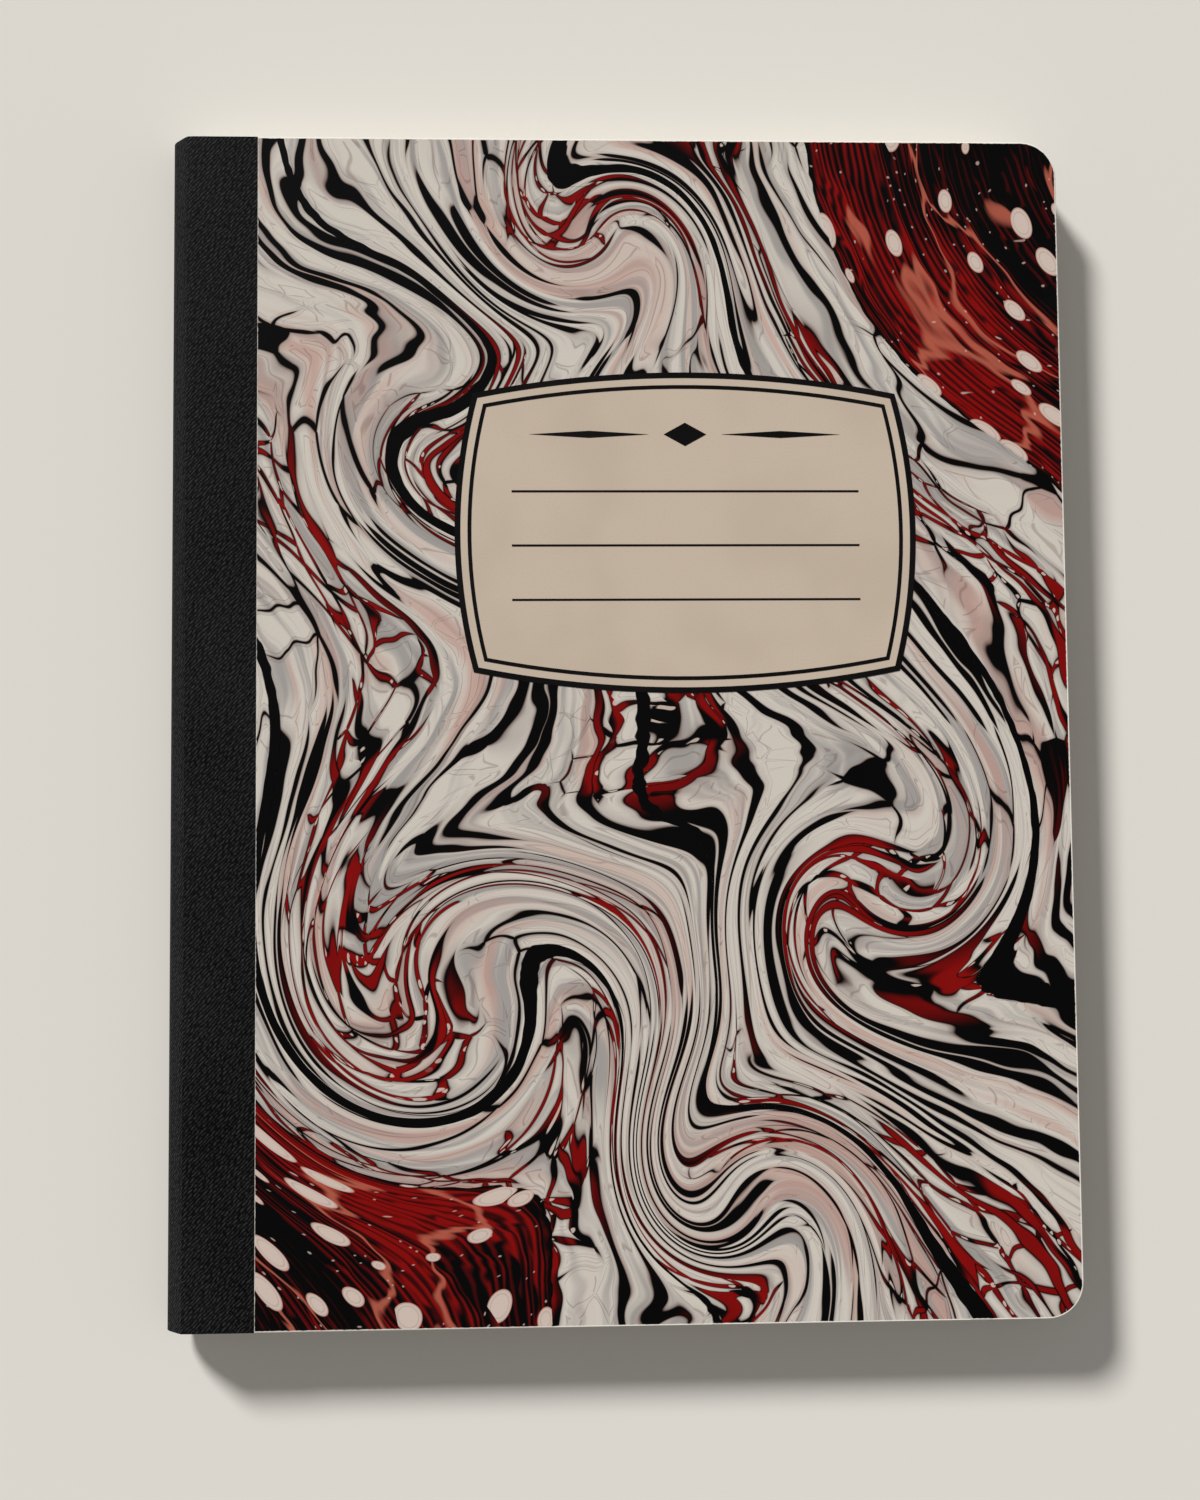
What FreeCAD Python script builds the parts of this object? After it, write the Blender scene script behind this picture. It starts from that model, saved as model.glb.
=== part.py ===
import FreeCAD, Part
import math
import os

import Sketcher

# A sewn composition notebook, lying closed on its back cover.
#
# The origin is the middle of the face that it lies on. X runs from the spine to the fore edge, Y from the
# tail to the head of the page, and Z up through the book to the front cover. All lengths are in millimetres.
#
# One thick section of ruled leaves is folded once and sewn through the fold. A stiff board lies on each side
# of it, with a printed paper outside and a plain lining inside. A strip of book cloth runs over the front
# board, round the fold and over the back board, and is the hinge of both covers.

Vector = FreeCAD.Vector

# Driving dimensions: the cells of the sheet, each with its alias, its value and what it measures.
SIZES = [
    ("cover_width", 188.0, "from the outside of the spine to the fore edge"),
    ("cover_height", 247.65, "from the tail to the head"),
    ("corner_radius", 7.5, "round corners at the fore edge"),
    ("leaf_count", 100, "leaves in the sewn section"),
    ("leaf_thickness", 0.1, "one leaf"),
    ("groups_per_side", 3, "bundles of leaves that show on each side of the middle fold"),
    ("edge_gap", 0.2, "gap between two bundles at the trimmed edges"),
    ("edge_gap_depth", 0.15, "how deep that gap is cut"),
    ("board_thickness", 1.2, "stiff grey board"),
    ("lining_thickness", 0.12, "plain paper inside each board"),
    ("paper_thickness", 0.2, "printed paper outside each board"),
    ("paper_bevel", 0.12, "worn white bevel round the printed paper"),
    ("tape_thickness", 0.3, "book cloth on the spine"),
    ("tape_reach", 18.3, "from the outside of the spine to the cloth's edge"),
    ("hinge_setback", 3.6, "from the outside of the spine to the fold that the cover turns on"),
    ("board_clearance", 0.25, "from that fold to the edge of the board"),
    ("glue_film", 0.05, "between the folded leaves and the cloth"),
    ("thread_diameter", 0.5, "sewing thread"),
    ("thread_clearance", 0.05, "round the thread in its holes"),
    ("stitch_count", 20, "stitches along the fold"),
    ("stitch_margin", 9.0, "from the head or tail to the nearest hole"),
    ("ink_thickness", 0.05, "each layer of print"),
    ("cloth_margin", 0.25, "bare paper between the cloth and the print"),
    ("trim_margin", 0.1, "bare paper inside the bevel"),
    ("flow_angle", 118.0, "direction of the marbling's flow, in degrees from across the page"),
    ("vein_pitch", 60.0, "from one broad dark vein to the next"),
    ("vein_width", 2.4, "a broad vein's mean width"),
    ("vein_swell", 1.2, "how much that width changes along it"),
    ("vein_drift", 5.0, "how far a broad vein strays from its even place"),
    ("swell_length", 195.0, "from one wide place of a vein to the next"),
    ("head_field_start", 98.0, "from the middle of the book to the dark red field near the head"),
    ("tail_field_start", 86.0, "from the middle of the book to the one near the tail"),
    ("side_wave_push", 9.0, "how far the first wave pushes the ink across the page"),
    ("side_wave_length", 150.0, "from crest to crest of that wave, up the page"),
    ("upward_wave_push", 7.0, "how far the second wave pushes the ink up the page"),
    ("upward_wave_length", 118.0, "from crest to crest of that wave, across the page"),
    ("edge_step", 10.0, "between the points that a vein's edge passes through"),
    ("arc_tolerance", 0.5, "how near the arcs of a vein's edge keep to it"),
    ("label_width", 89.1, "between the label's corners, across the page"),
    ("label_height", 58.9, "between the label's corners, up the page"),
    ("label_side_bulge", 3.9, "how far the label's left and right sides bow out"),
    ("label_end_bulge", 4.5, "how far its upper and lower sides bow out"),
    ("label_across", 13.8, "label's middle, from the middle of the book towards the fore edge"),
    ("label_up", 39.6, "label's middle, from the middle of the book towards the head"),
    ("border_width", 1.2, "thick line round the label"),
    ("border_gap", 1.5, "bare ring inside it"),
    ("hairline_width", 0.8, "thin line inside the ring"),
    ("rule_length", 73.0, "writing rules on the label"),
    ("rule_width", 0.45, "their thickness"),
    ("rule_pitch", 11.45, "from one rule to the next"),
    ("rule_up", 8.6, "top rule, above the label's middle"),
    ("rule_count", 3, "writing rules"),
    ("ornament_up", 20.7, "printed ornament, above the label's middle"),
    ("lozenge_width", 9.0, "lozenge in the middle of the ornament"),
    ("lozenge_height", 5.0, "its height"),
    ("dash_length", 25.0, "tapered dash on each side of the lozenge"),
    ("dash_height", 1.5, "its height in the middle"),
    ("dash_space", 3.2, "from the lozenge to the dash"),
]

# Whorls that wind up the marbling: name, middle across and up the page, reach, and turn in radians.
WHORLS = [
    ("tail_whorl", -34.0, -58.0, 34.0, 2.9),
    ("fore_whorl", 52.0, -34.0, 27.0, -2.5),
    ("spine_whorl", -40.0, 66.0, 26.0, -2.2),
    ("low_whorl", 24.0, -100.0, 22.0, 2.2),
    ("head_whorl", -4.0, 104.0, 20.0, 2.2),
]
for name, across, up, reach, _ in WHORLS:
    SIZES += [
        (f"{name}_across", across, "its middle, from the middle of the page towards the fore edge"),
        (f"{name}_up", up, "its middle, from the middle of the page towards the head"),
        (f"{name}_reach", reach, "how far out it winds the ink up"),
    ]

doc = FreeCAD.newDocument("composition_notebook")


def make_sheet():
    """Writes the driving dimensions into a spreadsheet, one row each."""
    sheet = doc.addObject("Spreadsheet::Sheet", "Sizes")
    for row, (alias, value, meaning) in enumerate(SIZES, start=1):
        sheet.set(f"A{row}", alias)
        sheet.set(f"B{row}", str(value))
        sheet.setAlias(f"B{row}", alias)
        sheet.set(f"C{row}", meaning)
    doc.recompute()
    return sheet


sizes = make_sheet()
# The sub-parts, in the order in which they are made.
pieces = []


def size(alias):
    """Value of one cell of the sheet."""
    return float(sizes.get(alias))


# Sizes that follow from the driving ones, each as an expression over the sheet's cells.
BLOCK = "(Sizes.leaf_count * Sizes.leaf_thickness)"
COVER_STACK = "(Sizes.tape_thickness + Sizes.board_thickness + Sizes.lining_thickness)"
TOTAL = f"(2 * {COVER_STACK} + {BLOCK})"
MIDDLE = f"({TOTAL} / 2)"
SPINE_X = "(-Sizes.cover_width / 2)"
FORE_X = "(Sizes.cover_width / 2)"
HINGE_X = f"({SPINE_X} + Sizes.hinge_setback)"
BOARD_X = f"({HINGE_X} + Sizes.board_clearance)"
TAPE_EDGE_X = f"({SPINE_X} + Sizes.tape_reach)"
FOLD_RADIUS = f"({BLOCK} / 2)"
FOLD_X = f"({SPINE_X} + Sizes.tape_thickness + Sizes.glue_film + {FOLD_RADIUS})"
PAPER_TOP = f"({TOTAL} - Sizes.tape_thickness + Sizes.paper_thickness)"
PAPER_UNDERSIDE = "(Sizes.tape_thickness - Sizes.paper_thickness)"


def value_of(expression):
    """Number that an expression over the sheet's cells comes to."""
    return float(sizes.evalExpression(expression))


# Helpers for sketches


def origin_plane(body, role):
    """One of the body's own origin planes or axes, by its role."""
    return next(o for o in body.Origin.OriginFeatures if o.Role == role)


def new_body(label):
    """An empty PartDesign body for one sub-part, whose label names its file."""
    body = doc.addObject("PartDesign::Body", label)
    body.Label = label
    pieces.append(body)
    return body


def new_sketch(body, name, role="XY_Plane"):
    """An empty sketch on one of the body's origin planes."""
    sketch = body.newObject("Sketcher::SketchObject", name)
    sketch.AttachmentSupport = [(origin_plane(body, role), "")]
    sketch.MapMode = "FlatFace"
    return sketch


def constrain(sketch, *terms):
    """Adds one plain constraint."""
    return sketch.addConstraint(Sketcher.Constraint(*terms))


def bind(sketch, name, expression, *terms):
    """Adds a dimension whose value is an expression over the sheet's cells."""
    index = sketch.addConstraint(Sketcher.Constraint(*terms, value_of(expression)))
    sketch.renameConstraint(index, name)
    sketch.setExpression(f"Constraints.{name}", expression)
    return index


def bind_point(sketch, name, geometry, corner, across, up):
    """Fixes one point of a sketch at two signed distances from the sketch's origin."""
    bind(sketch, f"{name}_x", across, "DistanceX", -1, 1, geometry, corner)
    bind(sketch, f"{name}_y", up, "DistanceY", -1, 1, geometry, corner)


def add_line(sketch, start, end):
    """A straight edge between two (x, y) points."""
    return sketch.addGeometry(Part.LineSegment(Vector(*start, 0), Vector(*end, 0)), False)


def add_arc(sketch, centre, radius, start_angle, end_angle):
    """An arc, counterclockwise from one angle to the other, in radians."""
    circle = Part.Circle(Vector(*centre, 0), Vector(0, 0, 1), radius)
    return sketch.addGeometry(Part.ArcOfCircle(circle, start_angle, end_angle), False)


def add_closed_outline(sketch, points):
    """Straight edges through the points and back to the first, joined end to end."""
    ends = points[1:] + points[:1]
    lines = [add_line(sketch, start, end) for start, end in zip(points, ends)]
    for line, following in zip(lines, lines[1:] + lines[:1]):
        constrain(sketch, "Coincident", line, 2, following, 1)
    return lines


def add_rectangle(sketch, name, left, right, bottom, top):
    """An upright rectangle whose four sides are expressions over the sheet's cells."""
    x0, x1, y0, y1 = (value_of(side) for side in (left, right, bottom, top))
    lines = add_closed_outline(sketch, [(x0, y0), (x1, y0), (x1, y1), (x0, y1)])
    for line, direction in zip(lines, ("Horizontal", "Vertical") * 2):
        constrain(sketch, direction, line)
    bind_point(sketch, f"{name}_low", lines[0], 1, left, bottom)
    bind_point(sketch, f"{name}_high", lines[2], 1, right, top)
    return lines


def pad(body, sketch, length, name="Pad", both_ways=False):
    """Raises a sketch by a bound length."""
    feature = body.newObject("PartDesign::Pad", name)
    feature.Profile = sketch
    feature.setExpression("Length", length)
    if both_ways:
        feature.SideType = "Symmetric"
    doc.recompute()
    return feature


def place_up(body, expression):
    """Lifts a body to its height in the book."""
    body.setExpression(".Placement.Base.z", expression)


def edge_names(shape, wanted):
    """Names of the edges that pass a test."""
    return [f"Edge{i}" for i, edge in enumerate(shape.Edges, start=1) if wanted(edge)]


def is_upright(edge):
    """True for a straight edge along Z."""
    ends = edge.BoundBox
    return max(ends.XLength, ends.YLength) < 1e-6 < ends.ZLength


def round_fore_corners(body, feature, radius):
    """Rounds the two upright edges at the fore edge."""
    fore = feature.Shape.BoundBox.XMax
    corners = edge_names(feature.Shape, lambda e: is_upright(e) and abs(e.BoundBox.XMax - fore) < 1e-6)
    fillet = body.newObject("PartDesign::Fillet", "RoundCorners")
    fillet.Base = (feature, corners)
    fillet.setExpression("Radius", radius)
    doc.recompute()
    return fillet


def sheet_body(label, left, thickness, up, round_corners=True, right=FORE_X):
    """A flat layer of the book: full height, from one X to another, with round corners at the fore edge."""
    body = new_body(label)
    outline = new_sketch(body, "Outline")
    add_rectangle(outline, "side", left, right, "-Sizes.cover_height / 2", "Sizes.cover_height / 2")
    layer = pad(body, outline, thickness)
    if round_corners:
        layer = round_fore_corners(body, layer, "Sizes.corner_radius")
    place_up(body, up)
    return body, layer


# The covers: a board, a lining inside it, a printed paper and a strip of cloth outside it


def bevel_outer_edge(body, layer, outer_side):
    """Bevels the printed paper's outer face along the three trimmed sides, where its white core shows."""
    bounds = layer.Shape.BoundBox
    face_z = bounds.ZMax if outer_side > 0 else bounds.ZMin

    def on_trimmed_rim(edge):
        ends = edge.BoundBox
        flat = abs(ends.ZMax - face_z) < 1e-6 and abs(ends.ZMin - face_z) < 1e-6
        return flat and ends.XMax > bounds.XMin + 1e-6

    chamfer = body.newObject("PartDesign::Chamfer", "WornEdge")
    chamfer.Base = (layer, edge_names(layer.Shape, on_trimmed_rim))
    chamfer.setExpression("Size", "Sizes.paper_bevel")
    doc.recompute()
    return chamfer


def make_cover(side, outer_side):
    """Builds one cover. outer_side is 1 for the front and -1 for the back."""

    def up(inner, outer):
        """Height of a layer's lower face, from its two distances to the outside of the book."""
        return f"{TOTAL} - ({outer})" if outer_side > 0 else f"{inner}"

    tape, board, lining, paper = (
        "Sizes.tape_thickness",
        "Sizes.board_thickness",
        "Sizes.lining_thickness",
        "Sizes.paper_thickness",
    )
    sheet_body(f"{side}_board", BOARD_X, board, up(tape, f"{tape} + {board}"))
    sheet_body(f"{side}_lining", BOARD_X, lining, up(f"{tape} + {board}", f"{tape} + {board} + {lining}"))
    body, layer = sheet_body(f"{side}_cover_paper", TAPE_EDGE_X, paper, up(f"{tape} - {paper}", tape))
    bevel_outer_edge(body, layer, outer_side)
    sheet_body(f"{side}_tape_strip", HINGE_X, tape, up("0", tape), round_corners=False, right=TAPE_EDGE_X)


# The folded leaves


def add_fold_profile(sketch, name, radius, fore_x):
    """Closed outline of all within a distance of the middle fold: flat above and below, round behind."""
    r, x0, x1, z = (value_of(e) for e in (radius, FOLD_X, fore_x, MIDDLE))
    arc = add_arc(sketch, (x0, z), r, math.pi / 2, 3 * math.pi / 2)
    top = add_line(sketch, (x1, z + r), (x0, z + r))
    bottom = add_line(sketch, (x0, z - r), (x1, z - r))
    fore = add_line(sketch, (x1, z - r), (x1, z + r))
    constrain(sketch, "Tangent", top, 2, arc, 1)
    constrain(sketch, "Tangent", arc, 2, bottom, 1)
    constrain(sketch, "Coincident", bottom, 2, fore, 1)
    constrain(sketch, "Coincident", fore, 2, top, 1)
    constrain(sketch, "Horizontal", top)
    constrain(sketch, "Horizontal", bottom)
    constrain(sketch, "Vertical", fore)
    bind(sketch, f"{name}_radius", radius, "Radius", arc)
    bind_point(sketch, f"{name}_fold", arc, 3, FOLD_X, MIDDLE)
    bind(sketch, f"{name}_fore", fore_x, "DistanceX", -1, 1, fore, 1)


def add_bundle(sketch, name, inner, outer):
    """Closed outline of one bundle of leaves: a U round the middle fold, open at the fore edge."""
    r0, r1, x0, x1, z = (value_of(e) for e in (inner, outer, FOLD_X, FORE_X, MIDDLE))
    arcs = [add_arc(sketch, (x0, z), r, math.pi / 2, 3 * math.pi / 2) for r in (r0, r1)]
    for arc, radius, place in zip(arcs, (inner, outer), ("inner", "outer")):
        bind(sketch, f"{name}_{place}", radius, "Radius", arc)
        bind_point(sketch, f"{name}_{place}_fold", arc, 3, FOLD_X, MIDDLE)
    for sign, arc_end, place in ((1, 1, "top"), (-1, 2, "bottom")):
        lines = [add_line(sketch, (x0, z + sign * r), (x1, z + sign * r)) for r in (r0, r1)]
        for line, arc in zip(lines, arcs):
            constrain(sketch, "Tangent", line, 1, arc, arc_end)
            constrain(sketch, "Horizontal", line)
        end = add_line(sketch, (x1, z + sign * r0), (x1, z + sign * r1))
        constrain(sketch, "Coincident", end, 1, lines[0], 2)
        constrain(sketch, "Coincident", end, 2, lines[1], 2)
        constrain(sketch, "Vertical", end)
        bind(sketch, f"{name}_{place}_fore", FORE_X, "DistanceX", -1, 1, end, 1)


def add_corner_waste(sketch, name, sign):
    """Closed outline of the waste that the corner cutter takes off at the head (1) or the tail (-1)."""
    r, x, y = size("corner_radius"), value_of(FORE_X), sign * size("cover_height") / 2
    centre = (x - r, y - sign * r)
    angles = (0, math.pi / 2) if sign > 0 else (-math.pi / 2, 0)
    arc = add_arc(sketch, centre, r, *angles)
    fore_end, far_end = (1, 2) if sign > 0 else (2, 1)
    along_fore = add_line(sketch, (x, y - sign * r), (x, y))
    along_end = add_line(sketch, (x, y), (x - r, y))
    constrain(sketch, "Tangent", arc, fore_end, along_fore, 1)
    constrain(sketch, "Coincident", along_fore, 2, along_end, 1)
    constrain(sketch, "Tangent", along_end, 2, arc, far_end)
    constrain(sketch, "Vertical", along_fore)
    constrain(sketch, "Horizontal", along_end)
    bind(sketch, f"{name}_radius", "Sizes.corner_radius", "Radius", arc)
    bind_point(sketch, f"{name}_corner", along_fore, 2, FORE_X, f"{sign} * Sizes.cover_height / 2")


def cut(body, sketch, name, length=None):
    """Pockets a sketch, through everything or to a bound length, both ways from its plane."""
    before = body.Shape.Volume
    pocket = body.newObject("PartDesign::Pocket", name)
    pocket.Profile = sketch
    pocket.SideType = "Symmetric"
    if length is None:
        pocket.Type = "ThroughAll"
    else:
        pocket.setExpression("Length", length)
    doc.recompute()
    if not pocket.Shape.Volume < before:
        raise RuntimeError(f"{name} of {body.Label} cut nothing")
    return pocket


# The stitches run from the first hole to the last, a pitch apart. The thread is hidden, so it has six sides.
STITCH_SPAN = "(Sizes.cover_height - 2 * Sizes.stitch_margin)"
HOLE_COUNT = "(Sizes.stitch_count + 1)"
THREAD_RADIUS = "(Sizes.thread_diameter / 2)"
HOLE_RADIUS = f"({THREAD_RADIUS} + Sizes.thread_clearance)"
# The outer thread lies just under the outside of the fold, and the inner one in the middle fold.
OUTER_THREAD_X = f"({FOLD_X} - {FOLD_RADIUS} + {THREAD_RADIUS})"
INNER_THREAD_X = FOLD_X


def add_hexagon(sketch, name, radius, across, up):
    """A six-sided outline whose corners are at one radius from a middle given by expressions."""
    turns = [f"{60 * corner} deg" for corner in range(6)]
    corners = [(f"{across} + {radius} * cos({t})", f"{up} + {radius} * sin({t})") for t in turns]
    lines = add_closed_outline(sketch, [(value_of(a), value_of(b)) for a, b in corners])
    for number, (line, corner) in enumerate(zip(lines, corners)):
        bind_point(sketch, f"{name}_{number}", line, 1, *corner)


def along_stitches(body, feature, name):
    """Repeats a feature at every stitch hole, from the tail to the head."""
    pattern = body.newObject("PartDesign::LinearPattern", name)
    pattern.Originals = [feature]
    pattern.Direction = (origin_plane(body, "Y_Axis"), [""])
    pattern.setExpression("Length", STITCH_SPAN)
    pattern.setExpression("Occurrences", HOLE_COUNT)
    body.Tip = pattern
    doc.recompute()
    return pattern


def cross_sketch(body, name, radius, from_x):
    """The thread's section at the tail's first hole, on a plane at one X, to run across the book."""
    sketch = new_sketch(body, name, "YZ_Plane")
    sketch.setExpression(".AttachmentOffset.Base.z", from_x)
    add_hexagon(sketch, "hole", radius, f"-{STITCH_SPAN} / 2", MIDDLE)
    return sketch


def make_page_block():
    """One solid for the folded section: its core, the bundles of leaves that stand out at the trimmed edges,
    the round corners, and the holes and channels that the thread lies in."""
    body = new_body("page_block")

    core = new_sketch(body, "Core", "XZ_Plane")
    add_fold_profile(core, "core", f"{FOLD_RADIUS} - Sizes.edge_gap", f"{FORE_X} - Sizes.edge_gap_depth")
    core_pad = pad(body, core, "Sizes.cover_height - 2 * Sizes.edge_gap_depth", "CorePad", both_ways=True)
    round_fore_corners(body, core_pad, "Sizes.corner_radius - Sizes.edge_gap_depth")

    bundles = new_sketch(body, "Bundles", "XZ_Plane")
    pitch = f"({FOLD_RADIUS} / Sizes.groups_per_side)"
    for number in range(1, int(size("groups_per_side")) + 1):
        outermost = number == int(size("groups_per_side"))
        inner = f"{number - 1} * {pitch} + Sizes.edge_gap / 2"
        outer = FOLD_RADIUS if outermost else f"{number} * {pitch} - Sizes.edge_gap / 2"
        add_bundle(bundles, f"bundle{number}", inner, outer)
    pad(body, bundles, "Sizes.cover_height", "BundlePad", both_ways=True)

    waste = new_sketch(body, "CornerWaste")
    add_corner_waste(waste, "head", 1)
    add_corner_waste(waste, "tail", -1)
    cut(body, waste, "CornerCut")

    channels = new_sketch(body, "ThreadChannels", "XZ_Plane")
    add_hexagon(channels, "outer", HOLE_RADIUS, OUTER_THREAD_X, MIDDLE)
    add_hexagon(channels, "inner", HOLE_RADIUS, INNER_THREAD_X, MIDDLE)
    cut(body, channels, "ThreadChannelCut", f"{STITCH_SPAN} + 2 * {HOLE_RADIUS}")

    hole = cross_sketch(body, "StitchHole", HOLE_RADIUS, f"({OUTER_THREAD_X} + {INNER_THREAD_X}) / 2")
    hole_cut = cut(body, hole, "StitchHoleCut", f"{INNER_THREAD_X} - {OUTER_THREAD_X}")
    along_stitches(body, hole_cut, "StitchHoles")


def make_sewing_thread():
    """The thread: a run along the outside of the fold, a run in the middle fold, and a leg at every hole."""
    body = new_body("sewing_thread")
    runs = new_sketch(body, "Runs", "XZ_Plane")
    add_hexagon(runs, "outer", THREAD_RADIUS, OUTER_THREAD_X, MIDDLE)
    leg = cross_sketch(body, "Leg", THREAD_RADIUS, f"({OUTER_THREAD_X} + {INNER_THREAD_X}) / 2")
    inner = new_sketch(body, "InnerRun", "XZ_Plane")
    add_hexagon(inner, "inner", THREAD_RADIUS, INNER_THREAD_X, MIDDLE)
    run_length = f"{STITCH_SPAN} + Sizes.thread_diameter"
    pad(body, runs, run_length, "OuterRunPad", both_ways=True)
    leg_pad = pad(body, leg, f"{INNER_THREAD_X} - {OUTER_THREAD_X}", "LegPad", both_ways=True)
    along_stitches(body, leg_pad, "Legs")
    pad(body, inner, run_length, "InnerRunPad", both_ways=True)


def make_spine_tape():
    """The cloth between the hinge folds: straight from each board to the folded leaves, and round them."""
    body = new_body("spine_tape")
    sketch = new_sketch(body, "Section", "XZ_Plane")
    hinge, x0, z = value_of(HINGE_X), value_of(FOLD_X), value_of(MIDDLE)
    inner = f"{FOLD_RADIUS} + Sizes.glue_film"
    outer = f"{inner} + Sizes.tape_thickness"
    across, up = hinge - x0, z
    corner_angle = math.atan2(up, across)
    touch_angle = corner_angle + math.acos(value_of(outer) / math.hypot(across, up))
    arcs = []
    for radius in (inner, outer):
        arcs.append(add_arc(sketch, (x0, z), value_of(radius), touch_angle, 2 * math.pi - touch_angle))
    for arc, radius, place in zip(arcs, (inner, outer), ("inner", "outer")):
        bind(sketch, f"{place}_radius", radius, "Radius", arc)
        bind_point(sketch, f"{place}_fold", arc, 3, FOLD_X, MIDDLE)
    for sign, arc_end, place in ((1, 1, "top"), (-1, 2, "bottom")):
        lines = []
        for radius, arc in zip((inner, outer), arcs):
            r = value_of(radius)
            touch = (x0 + r * math.cos(touch_angle), z + sign * r * math.sin(touch_angle))
            slope = -math.cos(touch_angle) / math.sin(touch_angle)
            start = (hinge, touch[1] + sign * slope * (hinge - touch[0]))
            line = add_line(sketch, start, touch)
            constrain(sketch, "Tangent", line, 2, arc, arc_end)
            lines.append(line)
        end = add_line(sketch, (hinge, z + sign * (up - 0.5)), (hinge, z + sign * up))
        constrain(sketch, "Coincident", end, 1, lines[0], 1)
        constrain(sketch, "Coincident", end, 2, lines[1], 1)
        constrain(sketch, "Vertical", end)
        constrain(sketch, "Parallel", *lines)
        bind_point(sketch, f"{place}_hinge", end, 2, HINGE_X, TOTAL if sign > 0 else "0")
    pad(body, sketch, "Sizes.cover_height", both_ways=True)


# The label, printed on the front cover


def add_bowed_frame(sketch, name, inset):
    """Closed outline of the label, with four bowed sides, at a distance inside its edge."""
    half_width, half_height = "(Sizes.label_width / 2)", "(Sizes.label_height / 2)"
    side, end = "Sizes.label_side_bulge", "Sizes.label_end_bulge"
    # A bow of height b over a half chord c is an arc of radius (c * c + b * b) / (2 * b).
    end_radius = f"(({half_width} ^ 2 + {end} ^ 2) / (2 * {end}))"
    side_radius = f"(({half_height} ^ 2 + {side} ^ 2) / (2 * {side}))"
    end_centre = f"({half_height} + {end} - {end_radius})"
    side_centre = f"({half_width} + {side} - {side_radius})"
    w, h, gap = value_of(half_width), value_of(half_height), value_of(inset)
    end_half = math.atan2(w, h - value_of(end_centre))
    side_half = math.atan2(h, w - value_of(side_centre))
    plans = [
        ("right", side_radius, side_centre, "0", 0.0, side_half),
        ("top", end_radius, "0", end_centre, math.pi / 2, end_half),
        ("left", side_radius, f"-1 * {side_centre}", "0", math.pi, side_half),
        ("bottom", end_radius, "0", f"-1 * {end_centre}", 3 * math.pi / 2, end_half),
    ]
    arcs = []
    for place, radius, across, up, middle, half in plans:
        x = f"Sizes.label_across + {across}"
        y = f"Sizes.label_up + {up}"
        centre = (value_of(x), value_of(y))
        arc = add_arc(sketch, centre, value_of(radius) - gap, middle - half, middle + half)
        bind(sketch, f"{name}_{place}_radius", f"{radius} - ({inset})", "Radius", arc)
        bind_point(sketch, f"{name}_{place}_centre", arc, 3, x, y)
        arcs.append(arc)
    for arc, following in zip(arcs, arcs[1:] + arcs[:1]):
        constrain(sketch, "Coincident", arc, 2, following, 1)


def add_lozenge(sketch, name, across, width, height):
    """A four-pointed lozenge on the ornament's line; its middle is at a distance from the label's middle."""
    x = f"Sizes.label_across + {across}"
    y = "Sizes.label_up + Sizes.ornament_up"
    corners = [
        (f"{x} + {width} / 2", y),
        (x, f"{y} + {height} / 2"),
        (f"{x} - {width} / 2", y),
        (x, f"{y} - {height} / 2"),
    ]
    lines = add_closed_outline(sketch, [(value_of(a), value_of(b)) for a, b in corners])
    for number, (line, corner) in enumerate(zip(lines, corners)):
        bind_point(sketch, f"{name}_{number}", line, 1, *corner)


def make_label():
    """The label's ground, and the black border, writing rules and ornament printed on it."""
    ground = new_body("label_ground")
    outline = new_sketch(ground, "Outline")
    add_bowed_frame(outline, "edge", "0")
    pad(ground, outline, "Sizes.ink_thickness")
    place_up(ground, PAPER_TOP)

    print_body = new_body("label_print")
    border = new_sketch(print_body, "Border")
    gap_end = "Sizes.border_width + Sizes.border_gap"
    insets = ["0", "Sizes.border_width", gap_end, f"{gap_end} + Sizes.hairline_width"]
    for number, inset in enumerate(insets):
        add_bowed_frame(border, f"line{number}", inset)
    pad(print_body, border, "Sizes.ink_thickness", "BorderPad")

    marks = new_sketch(print_body, "Marks")
    for number in range(int(size("rule_count"))):
        middle = f"Sizes.label_up + Sizes.rule_up - {number} * Sizes.rule_pitch"
        add_rectangle(
            marks,
            f"rule{number}",
            "Sizes.label_across - Sizes.rule_length / 2",
            "Sizes.label_across + Sizes.rule_length / 2",
            f"{middle} - Sizes.rule_width / 2",
            f"{middle} + Sizes.rule_width / 2",
        )
    add_lozenge(marks, "lozenge", "0", "Sizes.lozenge_width", "Sizes.lozenge_height")
    dash_middle = "(Sizes.lozenge_width / 2 + Sizes.dash_space + Sizes.dash_length / 2)"
    for name, sign in (("left_dash", -1), ("right_dash", 1)):
        add_lozenge(marks, name, f"{sign} * {dash_middle}", "Sizes.dash_length", "Sizes.dash_height")
    pad(print_body, marks, "Sizes.ink_thickness", "MarksPad")
    place_up(print_body, f"{PAPER_TOP} + Sizes.ink_thickness")


# The marbled print of the covers. Straight bands of ink, side by side, are pushed into two waves and then
# wound up at a few whorls. Neither step tears or crosses the bands, so a vein is a band's two edges after
# both. The waves' and veins' starts and steps are in radians.
SIDE_WAVE_START, UPWARD_WAVE_START = 0.6, 2.0
DRIFT_STEP, SWELL_STEP = 2.4, 1.7


def wave(push, length, start, place):
    """How far a wave pushes the ink at one place along it; push and length name cells of the sheet."""
    return size(push) * math.sin(2 * math.pi * place / size(length) + start)


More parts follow.
